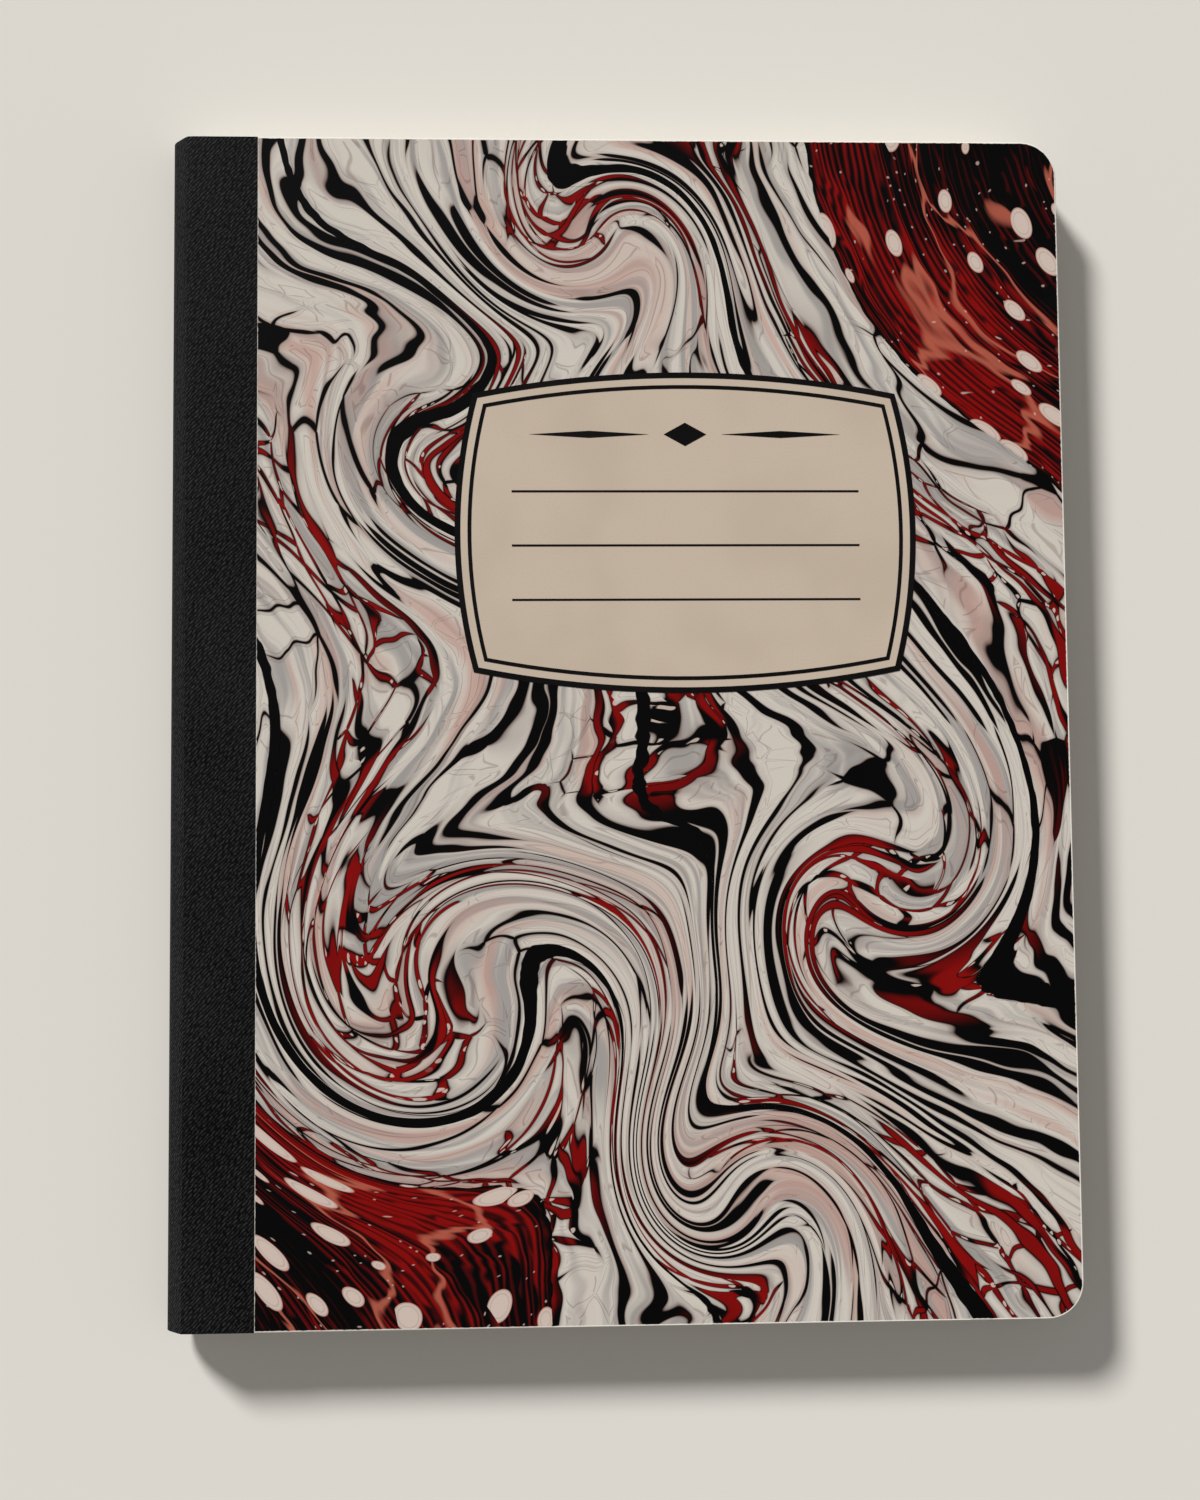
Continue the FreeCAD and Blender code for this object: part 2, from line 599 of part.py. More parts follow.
def flow_point(along, across):
    """Place on the page of a point that started at two distances along and across the straight bands."""
    angle = math.radians(size("flow_angle"))
    x = along * math.cos(angle) - across * math.sin(angle)
    y = along * math.sin(angle) + across * math.cos(angle)
    x += wave("side_wave_push", "side_wave_length", SIDE_WAVE_START, y)
    y += wave("upward_wave_push", "upward_wave_length", UPWARD_WAVE_START, x)
    for name, _, _, _, turn in WHORLS:
        middle_x, middle_y = size(f"{name}_across"), size(f"{name}_up")
        dx, dy = x - middle_x, y - middle_y
        wound = turn * math.exp(-(dx * dx + dy * dy) / size(f"{name}_reach") ** 2)
        x = middle_x + dx * math.cos(wound) - dy * math.sin(wound)
        y = middle_y + dx * math.sin(wound) + dy * math.cos(wound)
    return Vector(x, y, 0)


def flow_reach():
    """Distance along or across the bands that is sure to leave the page."""
    corner = math.hypot(size("cover_width"), size("cover_height")) / 2
    return corner + size("side_wave_push") + size("upward_wave_push")


def flow_edge(across_at):
    """Edge of a band, as arcs that run on into each other: across_at gives its distance across the bands at
    each distance along them."""
    count = 2 * math.ceil(flow_reach() / size("edge_step"))
    along = [flow_reach() * (2 * i / count - 1) for i in range(count + 1)]
    curve = Part.BSplineCurve()
    curve.interpolate([flow_point(a, across_at(a)) for a in along])
    return [arc.toShape() for arc in curve.toBiArcs(size("arc_tolerance"))]


def band_solid(low_at, high_at):
    """Flat solid between two edges of a band, one layer of ink thick."""
    low, high = flow_edge(low_at), flow_edge(high_at)
    reach = flow_reach()
    ends = [Part.makeLine(flow_point(a, low_at(a)), flow_point(a, high_at(a))) for a in (-reach, reach)]
    face = Part.Face(Part.Wire(Part.__sortEdges__(low + high + ends)))
    return face.extrude(Vector(0, 0, size("ink_thickness")))


def vein_side(number, sign):
    """Distance across the bands of one side of a broad vein, as a function of the distance along it."""
    middle = number * size("vein_pitch") + size("vein_drift") * math.sin(DRIFT_STEP * number)

    def across_at(along):
        swell = wave("vein_swell", "swell_length", SWELL_STEP * number, along)
        return middle + sign * (size("vein_width") + swell) / 2

    return across_at


def dark_veins():
    """Broad black veins, unevenly spaced between the two dark red fields, each of changing width."""
    last = math.floor(size("tail_field_start") / size("vein_pitch"))
    first = -math.floor(size("head_field_start") / size("vein_pitch"))
    return [band_solid(vein_side(number, -1), vein_side(number, 1)) for number in range(first, last + 1)]


def red_fields():
    """The two dark red fields that fill a corner at the tail and at the head."""
    reach = flow_reach()
    tail = band_solid(lambda a: size("tail_field_start"), lambda a: reach)
    head = band_solid(lambda a: -reach, lambda a: -size("head_field_start"))
    return [tail, head]


def make_print_area(name, has_label):
    """The part of a cover's paper that takes the marbling: all but a rim and the label."""
    body = doc.addObject("PartDesign::Body", name)
    outline = new_sketch(body, "Outline")
    inset = "(Sizes.paper_bevel + Sizes.trim_margin)"
    add_rectangle(
        outline,
        "side",
        f"{TAPE_EDGE_X} + Sizes.cloth_margin",
        f"{FORE_X} - {inset}",
        f"-(Sizes.cover_height / 2 - {inset})",
        f"Sizes.cover_height / 2 - {inset}",
    )
    if has_label:
        add_bowed_frame(outline, "label", "0")
    area = pad(body, outline, "Sizes.ink_thickness")
    round_fore_corners(body, area, f"Sizes.corner_radius - {inset}")
    return body


def make_marbling(prefix, up, on_back):
    """The broad veins and the corner fields of one cover, each trimmed to the printed area. The back cover
    has the same print as the front, turned half round."""
    area = make_print_area(f"{prefix}print_area", has_label=not on_back)
    for colour, solids in (("dark", dark_veins()), ("red", red_fields())):
        bands = doc.addObject("Part::Feature", f"{prefix}{colour}_bands")
        bands.Shape = Part.makeCompound(solids)
        bands.Placement.Rotation = FreeCAD.Rotation(Vector(0, 0, 1), 180 if on_back else 0)
        marbling = doc.addObject("Part::Common", f"{prefix}marbling_{colour}")
        marbling.Label = f"{prefix}marbling_{colour}"
        marbling.Base = bands
        marbling.Tool = area
        marbling.setExpression(".Placement.Base.z", up)
        pieces.append(marbling)


def check_and_export():
    """Stops if anything failed to build, and writes each sub-part's shape to its own file."""
    doc.recompute()
    for item in doc.Objects:
        if {"Invalid", "Error"} & set(item.State):
            raise RuntimeError(f"{item.Label} failed: {item.State}")
        if item.TypeId == "Sketcher::SketchObject" and not item.FullyConstrained:
            raise RuntimeError(f"{item.Label} can still move")
    os.makedirs("parts", exist_ok=True)
    for piece in pieces:
        shape = piece.Shape
        if shape.isNull() or not shape.isValid() or shape.Volume <= 0:
            raise RuntimeError(f"{piece.Label} is not a valid solid")
        shape.exportStep(os.path.join("parts", f"{piece.Label}.step"))
        print(piece.Label, "solids", len(shape.Solids), "volume", round(shape.Volume, 2))


make_cover("back", -1)
make_cover("front", 1)
make_page_block()
make_sewing_thread()
make_spine_tape()
make_label()
make_marbling("front_", PAPER_TOP, on_back=False)
make_marbling("back_", f"{PAPER_UNDERSIDE} - Sizes.ink_thickness", on_back=True)
check_and_export()
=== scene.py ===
"""A sewn composition notebook, lying closed on its back cover.

X runs from the spine to the fore edge, Y from the tail to the head of the page, and Z up through the book.
Lengths are in metres, apart from patterns, which are laid out in millimetres.
"""
from __future__ import annotations

import logging
import math
import random
from collections.abc import Callable
from dataclasses import dataclass, field
from enum import Enum

import bmesh
import bpy
from mathutils import Matrix, Vector


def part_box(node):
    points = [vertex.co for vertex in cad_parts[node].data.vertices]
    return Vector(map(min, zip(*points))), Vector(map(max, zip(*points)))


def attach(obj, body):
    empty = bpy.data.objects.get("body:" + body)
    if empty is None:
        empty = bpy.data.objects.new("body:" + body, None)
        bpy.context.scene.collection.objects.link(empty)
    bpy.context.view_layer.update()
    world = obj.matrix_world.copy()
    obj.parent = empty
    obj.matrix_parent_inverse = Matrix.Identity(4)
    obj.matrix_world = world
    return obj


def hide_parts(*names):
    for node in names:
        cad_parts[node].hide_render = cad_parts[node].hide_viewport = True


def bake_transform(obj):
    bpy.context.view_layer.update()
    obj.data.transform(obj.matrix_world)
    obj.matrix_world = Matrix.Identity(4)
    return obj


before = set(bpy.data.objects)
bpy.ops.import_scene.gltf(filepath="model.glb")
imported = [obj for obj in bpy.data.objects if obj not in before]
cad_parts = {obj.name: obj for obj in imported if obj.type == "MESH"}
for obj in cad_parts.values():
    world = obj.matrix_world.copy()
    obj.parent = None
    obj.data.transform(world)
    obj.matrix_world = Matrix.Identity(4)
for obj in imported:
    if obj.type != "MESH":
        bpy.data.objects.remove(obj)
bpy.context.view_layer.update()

LOG = logging.getLogger("notebook")
MM = 0.001
NEAR = 1e-6
Colour = tuple[float, float, float, float]
Item = bmesh.types.BMEdge | bmesh.types.BMFace


class Body(Enum):
    """What moves as one when the notebook opens."""

    TEXT_BLOCK = "text_block"
    FRONT_COVER = "front_cover"
    BACK_COVER = "back_cover"


class Side(Enum):
    """Which way a cover faces: its value is the sign of Z on its outside."""

    FRONT = 1
    BACK = -1

    @property
    def word(self) -> str:
        """The side's name, as the nodes use it."""
        return self.name.lower()

    @property
    def body(self) -> Body:
        """The cover on this side."""
        return Body.FRONT_COVER if self is Side.FRONT else Body.BACK_COVER


class Pick(Enum):
    """What a selection in edit mode is made of."""

    EDGES = "EDGE"
    FACES = "FACE"


def ink(code: str) -> Colour:
    """Turns a printed colour into the linear one that a shader takes.

    Args:
        code: Six hexadecimal digits, as a colour picker shows them.

    Returns:
        Red, green, blue and an opaque alpha.
    """
    shown = [int(code[i : i + 2], 16) / 255 for i in (0, 2, 4)]
    linear = [c / 12.92 if c <= 0.04045 else ((c + 0.055) / 1.055) ** 2.4 for c in shown]
    return (linear[0], linear[1], linear[2], 1.0)


def operator(operation: str) -> Callable[[Wire, Wire | float], Wire]:
    """An operator between wires, which adds a node of one operation."""
    return lambda wire, other: wire.math(operation, other)


class Wire:
    """One value on its way through a finish's nodes.

    Arithmetic on it adds nodes. Of two masks, | is the larger and & the smaller.
    """

    def __init__(self, recipe: Recipe, socket: bpy.types.NodeSocket) -> None:
        """Keeps the socket that the value comes out of."""
        self.recipe = recipe
        self.socket = socket

    def math(self, operation: str, *others: Wire | float) -> Wire:
        """A sum on numbers, this one first."""
        return self.recipe.run("Math", self, *others, operation=operation)

    def vectors(self, operation: str, *others: Wire | tuple) -> Wire:
        """A sum on vectors, this one first, which may give a number."""
        out = "Value" if operation in ("DISTANCE", "LENGTH") else "Vector"
        return self.recipe.run("VectorMath", self, *others, out=out, operation=operation)

    __add__ = operator("ADD")
    __sub__ = operator("SUBTRACT")
    __mul__ = operator("MULTIPLY")
    __truediv__ = operator("DIVIDE")
    __or__ = operator("MAXIMUM")
    __and__ = operator("MINIMUM")

    def __rsub__(self, other: float) -> Wire:
        """Difference from a number."""
        return self.recipe.run("Math", other, self, operation="SUBTRACT")

    def size(self) -> Wire:
        """The number without its sign."""
        return self.math("ABSOLUTE")

    def wave(self) -> Wire:
        """Sine of the number."""
        return self.math("SINE")

    def parts(self) -> list[Wire]:
        """The three numbers of a vector."""
        node = self.recipe.node("SeparateXYZ")
        self.recipe.feed(node.inputs[0], self)
        return [Wire(self.recipe, output) for output in node.outputs]

    def join(self, other: Wire) -> Wire:
        """A flat vector, with this number as its X and another as its Y."""
        return self.recipe.run("CombineXYZ", self, other)

    def rise(self, low: Wire | float, high: Wire | float) -> Wire:
        """A mask that goes smoothly from 0 at low to 1 at high, or down again where low is the larger."""
        return self.recipe.run("MapRange", self, low, high, interpolation_type="SMOOTHSTEP")

    def step(self, place: float, soft: float) -> Wire:
        """A mask that steps from 0 to 1 at a place, or down to 0 where the softness is below 0."""
        return self.rise(place - soft, place + soft)

    def mix(self, under: Wire | Colour, over: Wire | Colour) -> Wire:
        """Lays one colour over another, as thickly as this mask says."""
        node = self.recipe.node("Mix", data_type="RGBA")
        for place, value in ((0, self), (6, under), (7, over)):
            self.recipe.feed(node.inputs[place], value)
        return Wire(self.recipe, node.outputs[2])


class Recipe:
    """The nodes of one finish, while they are put together."""

    def __init__(self, name: str) -> None:
        """Starts from a plain principled shader."""
        self.material = bpy.data.materials.new(name)
        self.material.use_nodes = True
        self.tree = self.material.node_tree

    def node(self, kind: str, **settings: object) -> bpy.types.Node:
        """Adds one node.

        Args:
            kind: The node's type, without its prefix.
            settings: Values of the node's own options.

        Returns:
            The new node.
        """
        node = self.tree.nodes.new(f"ShaderNode{kind}")
        for name, value in settings.items():
            setattr(node, name, value)
        return node

    def feed(self, socket: bpy.types.NodeSocket, value: Wire | float | tuple) -> None:
        """Links a wire to a socket, or sets the socket's own value."""
        if isinstance(value, Wire):
            self.tree.links.new(value.socket, socket)
        else:
            socket.default_value = value

    def fill(self, node: bpy.types.Node, **values: Wire | float | tuple) -> None:
        """Feeds a node's sockets by name, with underscores for spaces."""
        for name, value in values.items():
            self.feed(node.inputs[name.replace("_", " ")], value)

    def run(self, kind: str, *values: Wire | float | tuple, out: int | str = 0, **settings: object) -> Wire:
        """Adds a node and feeds its first sockets in order.

        Args:
            kind: The node's type, without its prefix.
            values: What goes into its sockets.
            out: The output that is wanted, by number or name.
            settings: Values of the node's own options.

        Returns:
            That output.
        """
        node = self.node(kind, **settings)
        for socket, value in zip(node.inputs, values):
            self.feed(socket, value)
        return Wire(self, node.outputs[out])

    def millimetres(self) -> Wire:
        """Place on the piece, in millimetres."""
        return self.run("TexCoord", out="Object").vectors("MULTIPLY", (1 / MM,) * 3)

    def levelness(self) -> Wire:
        """How squarely the surface faces up or down, from 0 to 1."""
        return self.run("TexCoord", out="Normal").parts()[2].size()

    def finish(
        self,
        paint: Wire | Colour,
        roughness: Wire | float,
        shine: float,
        relief: Wire | None = None,
        depth: float = 0.0,
        **sockets: float | tuple,
    ) -> bpy.types.Material:
        """Feeds the shader.

        Args:
            paint: Its colour.
            roughness: Its roughness.
            shine: Its specular level.
            relief: Height of the surface, from 0, low, to 1, high.
            depth: Metres from the low to the high.
            sockets: Values of its other sockets, with underscores for spaces.

        Returns:
            The material.
        """
        sockets |= {"Base_Color": paint, "Roughness": roughness, "Specular_IOR_Level": shine}
        if relief is not None:
            bump = self.node("Bump")
            self.fill(bump, Height=relief, Distance=depth)
            sockets["Normal"] = Wire(self, bump.outputs["Normal"])
        self.fill(self.tree.nodes["Principled BSDF"], **sockets)
        return self.material


@dataclass(frozen=True)
class Noise:
    """Soft noise from 0 to 1.

    Attributes:
        patch: Millimetres of one patch, each way; two sizes where the height doesn't matter.
        detail: How many finer layers lie on it.
        start: Where in the noise the piece begins, so that no two noises are alike.
    """

    patch: tuple[float, ...]
    detail: float = 1.0
    start: float = 0.0

    def at(self, place: Wire) -> Wire:
        """The noise at a place in millimetres."""
        recipe = place.recipe
        scale = tuple(1 / size for size in self.patch) + (0.0,) * (3 - len(self.patch))
        spot = place.vectors("MULTIPLY_ADD", scale, (self.start, self.start * 0.7, self.start * 0.3))
        node = recipe.node("TexNoise", noise_dimensions="3D" if len(self.patch) == 3 else "2D")
        recipe.fill(node, Vector=spot, Scale=1.0, Detail=self.detail)
        return Wire(recipe, node.outputs[0])


@dataclass(frozen=True)
class Wave:
    """A sideways push that swings along the page, in millimetres."""

    axis: int
    push: float
    length: float
    phase: float


@dataclass(frozen=True)
class Whorl:
    """A place where the comb wound the ink up: middle and reach in millimetres, turn in radians."""

    across: float
    up: float
    reach: float
    turn: float


@dataclass(frozen=True)
class Flow:
    """How the comb moved straight bands of ink over the page."""

    angle: float = math.radians(118.0)
    waves: tuple[Wave, ...] = (Wave(0, 9.0, 150.0, 0.6), Wave(1, 7.0, 118.0, 2.0))
    whorls: tuple[Whorl, ...] = (
        Whorl(-34.0, -58.0, 34.0, 2.9),
        Whorl(52.0, -34.0, 27.0, -2.5),
        Whorl(-40.0, 66.0, 26.0, -2.2),
        Whorl(24.0, -100.0, 22.0, 2.2),
        Whorl(-4.0, 104.0, 20.0, 2.2),
    )

    def unwind(self, page: Wire) -> Wire:
        """Where a point of the page lay before the comb.

        Args:
            page: Place on the page, with no height.

        Returns:
            Distance along the bands as X and across them as Y.
        """
        place = page
        for whorl in reversed(self.whorls):
            middle = (whorl.across, whorl.up, 0.0)
            away = place.vectors("DISTANCE", middle) / whorl.reach
            wound = (away * away * -1.0).math("EXPONENT") * -whorl.turn
            place = self.turned(place, middle, wound)
        for wave in reversed(self.waves):
            numbers = place.parts()
            swing = (numbers[1 - wave.axis] * (2 * math.pi / wave.length) + wave.phase).wave() * wave.push
            numbers[wave.axis] = numbers[wave.axis] - swing
            place = numbers[0].join(numbers[1])
        return self.turned(place, (0.0, 0.0, 0.0), -self.angle)

    def turned(self, place: Wire, middle: tuple, angle: Wire | float) -> Wire:
        """A place turned on the page about a middle."""
        node = place.recipe.node("VectorRotate", rotation_type="Z_AXIS")
        place.recipe.fill(node, Vector=place, Center=middle, Angle=angle)
        return Wire(place.recipe, node.outputs[0])


@dataclass(frozen=True)
class Cells:
    """A sheet of stretched cells of floating colour, in millimetres along and across the flow."""

    length: float
    width: float
    start: float = 0.0
    scatter: float = 1.0

    def lay(self, place: Wire) -> CellWires:
        """Finds the cell that a point is in, from its place along and across the flow."""
        scale = (1 / self.length, 1 / self.width, 0.0)
        spot = place.vectors("MULTIPLY_ADD", scale, (self.start, self.start * 1.7, 0.0))
        near, far = (self.search(spot, feature) for feature in ("F1", "F2"))
        span = far[2].vectors("SUBTRACT", near[2]).vectors("MULTIPLY", scale)
        gain = (far[0] * far[0] - near[0] * near[0]) * 0.5
        return CellWires(gain / span.vectors("LENGTH"), near[0], near[1], self.width)

    def search(self, spot: Wire, feature: str) -> list[Wire]:
        """Distance, random vector and middle of the nearest cell, or of the next one."""
        recipe = spot.recipe
        node = recipe.node("TexVoronoi", voronoi_dimensions="2D", feature=feature)
        recipe.fill(node, Vector=spot, Scale=1.0, Randomness=self.scatter)
        return [Wire(recipe, node.outputs[name]) for name in ("Distance", "Color", "Position")]


@dataclass(frozen=True)
class CellWires:
    """What is known of a cell at a point.

    Attributes:
        edge: Millimetres to its edge.
        out: Share of the way out from its middle.
        luck: Its random numbers.
        width: Its usual width, in millimetres.
    """

    edge: Wire
    out: Wire
    luck: Wire
    width: float

    def clearance(self, half_width: Wire, pool: float) -> Wire:
        """How far a point is from the veins between cells, and from the pools where several cells meet.

        Args:
            half_width: Half of the vein's width, in millimetres; there is no vein where it is below 0.
            pool: How much a millimetre of that half width rounds the cell off.

        Returns:
            Millimetres outside the vein, or less than nothing inside it.
        """
        pooled = (1.0 - half_width * pool - self.out) * self.width
        return (self.edge - half_width) & pooled


@dataclass(frozen=True)
class Rim:
    """The bare edge of a printed paper, in millimetres; its face is so far from the notebook's middle."""

    cloth_edge: float
    fore_edge: float
    half_height: float
    corner: float
    middle: float
    face: float
    at_cloth: float = 0.15
    at_trim: float = 0.32
    soft: float = 0.05
    wear: float = 0.12
    ragged: Noise = Noise((0.8, 0.8), 0.0)

    def mask(self, spot: Wire) -> Wire:
        """1 on ink and 0 on the paper's bare edge and trimmed sides."""
        x, y, z = spot.parts()
        beyond_x = x - (self.fore_edge - self.corner)
        beyond_y = y.size() - (self.half_height - self.corner)
        outside = (beyond_x | 0.0).join(beyond_y | 0.0)
        inside = (beyond_x | beyond_y) & 0.0
        wear = (self.ragged.at(spot) - 0.5) * self.wear
        trim = self.corner - outside.vectors("LENGTH") - inside + wear
        from_cloth = x - self.cloth_edge + wear
        printed = trim.step(self.at_trim, self.soft) & from_cloth.step(self.at_cloth, self.soft)
        flat = spot.recipe.levelness().rise(0.9, 0.97)
        raised = (z - self.middle).size().rise(self.face + 0.002, self.face + 0.01)
        return printed & (flat | raised)


@dataclass(frozen=True)
class MarbledPaper:
    """Printed marbled paper: pale bands and cells, black veins, red nets and two dark red fields."""

    name: str
    rim: Rim
    half_turn: bool = False
    flow: Flow = Flow()
    white: Colour = ink("cbc3b8")
    grey: Colour = ink("938e8b")
    pink: Colour = ink("bb9285")
    salmon: Colour = ink("b8604c")
    shade: Colour = ink("857b74")
    brown: Colour = ink("5c3a33")
    black: Colour = ink("040303")
    red: Colour = ink("800a08")
    deep_red: Colour = ink("3a0506")
    pebble: Colour = ink("cab7ab")
    bare: Colour = ink("e6e0d6")
    sway: Noise = Noise((38.0, 13.0), 0.0, 3.0)
    sway_push: float = 9.0
    ripple: Noise = Noise((9.0, 4.0), 0.0, 8.0)
    ripple_push: float = 1.8
    ripple_draw: float = 2.5
    band_pitch: float = 5.8
    band_stray: float = 2.6
    stray: Noise = Noise((60.0, 8.0), 0.0, 37.0)
    slope_step: float = 0.4
    least_slope: float = 0.05
    wash: Noise = Noise((80.0, 2.4), 2.0, 11.0)
    blush: Noise = Noise((64.0, 5.0), 2.0, 23.0)
    open_zone: Noise = Noise((50.0, 50.0), 0.0, 5.0)
    net_zone: Noise = Noise((90.0, 24.0), 0.0, 31.0)
    swell: Noise = Noise((34.0, 7.0), 1.0, 17.0)
    pebbles: Cells = Cells(26.0, 9.0, 7.9)
    net: Cells = Cells(12.5, 4.4, 9.6)
    redness: Noise = Noise((26.0, 3.0), 1.0, 53.0)
    vein_pitch: float = 60.0
    vein_width: float = 2.4
    vein_swell: float = 1.2
    vein_drift: float = 5.0
    drift_step: float = 2.4
    swell_length: float = 31.0
    swell_step: float = 1.7
    rough: Noise = Noise((5.0, 1.6), 1.0, 61.0)
    tail_field: float = 86.0
    head_field: float = 98.0
    streak: Noise = Noise((110.0, 2.0), 1.0, 71.0)
    depth: Noise = Noise((60.0, 13.0), 1.0, 77.0)
    strand_pitch: float = 1.2
    specks: Cells = Cells(2.6, 1.7, 1.9)
    large_drops: Cells = Cells(13.5, 5.8, 3.8, 0.65)
    bare_share: float = 0.5
    largest_drop: float = 0.33
    soft: float = 0.07
    satin: Noise = Noise((9.0, 9.0), 0.0, 4.0)
    satin_stray: float = 0.10
    roughness: float = 0.38
    shine: float = 0.07
    fibre: Noise = Noise((0.5, 0.5), 1.0)
    fibre_height: float = 0.012 * MM

    def make(self) -> bpy.types.Material:
        """Builds the finish.

        Returns:
            The material.
        """
        recipe = Recipe(self.name)
        spot = recipe.millimetres()
        flat = spot.vectors("MULTIPLY", (1.0, 1.0, 0.0))
        page = flat.vectors("MULTIPLY", (-1.0, -1.0, 0.0)) if self.half_turn else flat
        still = self.flow.unwind(page)
        stirred = self.stir(still)
        specks = self.specks.lay(stirred)
        paint = self.veins(page, stirred, specks)
        paint = self.fields(still, stirred, paint, specks)
        paint = self.rim.mask(spot).mix(self.bare, paint)
        roughness = self.satin.at(flat) * self.satin_stray + self.roughness
        return recipe.finish(paint, roughness, self.shine, self.fibre.at(flat), self.fibre_height)

    def stir(self, still: Wire) -> Wire:
        """Small wanderings of the ink about the flow."""
        sway = (self.sway.at(still) - 0.5) * self.sway_push
        ripple = (self.ripple.at(still) - 0.5) * self.ripple_push
        along, across, _ = still.parts()
        return (along + ripple * self.ripple_draw).join(across + sway + ripple)

    def bands(self, place: Wire) -> tuple[Wire, Wire]:
        """The long bands of pale ink, which part and join along the flow.

        Args:
            place: Place along and across the flow.

        Returns:
            Millimetres to the nearest line between two bands, and a random number for each band.
        """
        aside = place.vectors("ADD", (0.0, self.slope_step, 0.0))
        here, there = (self.band_count(spot) for spot in (place, aside))
        slope = ((there - here) / self.slope_step).size() | self.least_slope
        between = here.math("FRACT") - 0.5
        luck = place.recipe.node("TexWhiteNoise", noise_dimensions="1D")
        place.recipe.fill(luck, W=here.math("FLOOR"))
        return (0.5 - between.size()) / slope, Wire(place.recipe, luck.outputs["Value"])

    def band_count(self, place: Wire) -> Wire:
        """How many bands lie between a point and the middle of the flow; each whole number is a line."""
        return place.parts()[1] / self.band_pitch + self.stray.at(place) * self.band_stray

    def ground(self, place: Wire, luck: Wire) -> Wire:
        """The pale ink between the veins, streaked grey and pink along the flow."""
        wash = self.wash.at(place) + luck * 0.16
        blush = self.blush.at(place) + luck * 0.10
        paint = (wash.rise(0.54, 0.82) * 0.85).mix(self.white, self.grey)
        return (blush.rise(0.56, 0.84) * 0.7).mix(paint, self.pink)

    def veins(self, page: Wire, place: Wire, specks: CellWires) -> Wire:
        """Lays the bands, the cells between them and their veins.

        Args:
            page: Place on the page.
            place: Place along and across the flow.
            specks: The finest cells, which leave pale drops in the red nets.

        Returns:
            The ground with its veins.
        """
        zone = self.open_zone.at(page)
        open_zone = zone.rise(0.48, 0.60)
        net_zone = self.net_zone.at(place).rise(0.50, 0.62)
        swell = self.swell.at(place)
        thick = (swell + (0.5 - zone) * 0.5).rise(0.25, 0.72)

        gap, band_luck = self.bands(place)
        lines = gap - thick * 0.86 - 0.20 + open_zone * 1.3
        pebbles = self.pebbles.lay(place)
        branches = pebbles.clearance(thick * 0.34 + open_zone * 1.20 - 0.9, 0.6)
        nets = self.net.lay(place).clearance(thick * 0.35 + net_zone * 1.35 - 1.0, 0.5)
        clear = lines & branches
        near = clear & nets

        paint = self.ground(place, band_luck + pebbles.luck.parts()[0] * open_zone)
        paint = (near.rise(1.1, 0.0) * 0.42).mix(paint, self.shade)
        ring = (near - swell * 2.4).size().rise(0.15, 0.03)
        paint = (ring * 0.35).mix(paint, self.brown)
        paint = (near.rise(0.26, 0.0) * 0.6).mix(paint, self.brown)

        redness = self.redness.at(place).rise(0.40, 0.52) * (swell * 0.8 + 0.45)
        net_ink = (nets.rise(-0.08, -0.30) * redness).mix(self.black, self.red)
        drop = specks.out.rise(0.30, 0.22) * nets.rise(-0.15, -0.3)
        drop = drop * specks.luck.parts()[0].rise(0.60, 0.64)
        net_ink = (drop * 0.85).mix(net_ink, self.pebble)
        vein_ink = (redness * net_zone * clear.rise(-0.08, -0.3)).mix(self.black, self.red)
        paint = nets.step(0.0, -self.soft).mix(paint, net_ink)
        return clear.step(0.0, -self.soft).mix(paint, vein_ink)

    def fields(self, still: Wire, place: Wire, paint: Wire, specks: CellWires) -> Wire:
        """Lays the broad veins and the two dark red fields, with their strands, drops and specks.

        Args:
            still: Place along and across the flow, exactly.
            place: The same, with the ink's small wanderings.
            paint: What they lie on.
            specks: The finest cells, which leave the specks.

        Returns:
            The whole print.
        """
        along, across, _ = still.parts()
        rough = self.rough.at(still) - 0.5
        paint = self.broad_veins(along, across, rough).mix(paint, self.black)

        into = ((across - self.tail_field) | (across * -1.0 - self.head_field)) + rough
        streak = self.streak.at(place)
        depth = self.depth.at(place)
        strand = (across * (2 * math.pi / self.strand_pitch) + streak * 16.0).wave()
        tone = strand * 0.30 + (streak - 0.5) * 1.1 + (depth - 0.5) * 1.3 + 0.52 - into * 0.016
        pool = tone.rise(0.02, 0.38).mix(self.black, self.deep_red)
        pool = tone.rise(0.28, 0.85).mix(pool, self.red)
        thread = (depth + streak * 0.12 - 0.62).size().rise(streak * 0.05, 0.004)
        pool = (thread * 0.75).mix(pool, self.salmon)
        pool = into.rise(1.1, 0.4).mix(pool, self.black)
        speck = specks.luck.parts()[1]
        small = specks.out.rise(speck * 0.16, speck * 0.08)
        pool = (small * speck.rise(0.84, 0.88) * 0.55).mix(pool, self.pebble)
        pool = self.drops(still, pool)
        return into.step(0.0, self.soft).mix(paint, pool)

    def broad_veins(self, along: Wire, across: Wire, rough: Wire) -> Wire:
        """Where the three broad veins run.

        Args:
            along: Distance along the flow.
            across: Distance across it.
            rough: How far the veins' edges stray.

        Returns:
            1 in a broad vein.
        """
        veins = []
        for number in (-1, 0, 1):
            middle = self.vein_pitch * number + self.vein_drift * math.sin(self.drift_step * number)
            swell = (along / self.swell_length + self.swell_step * number).wave() * (self.vein_swell / 2)
            reach = swell + self.vein_width / 2 + rough
            veins.append(((across - middle).size() - reach).step(0.0, -self.soft))
        return veins[0] | veins[1] | veins[2]

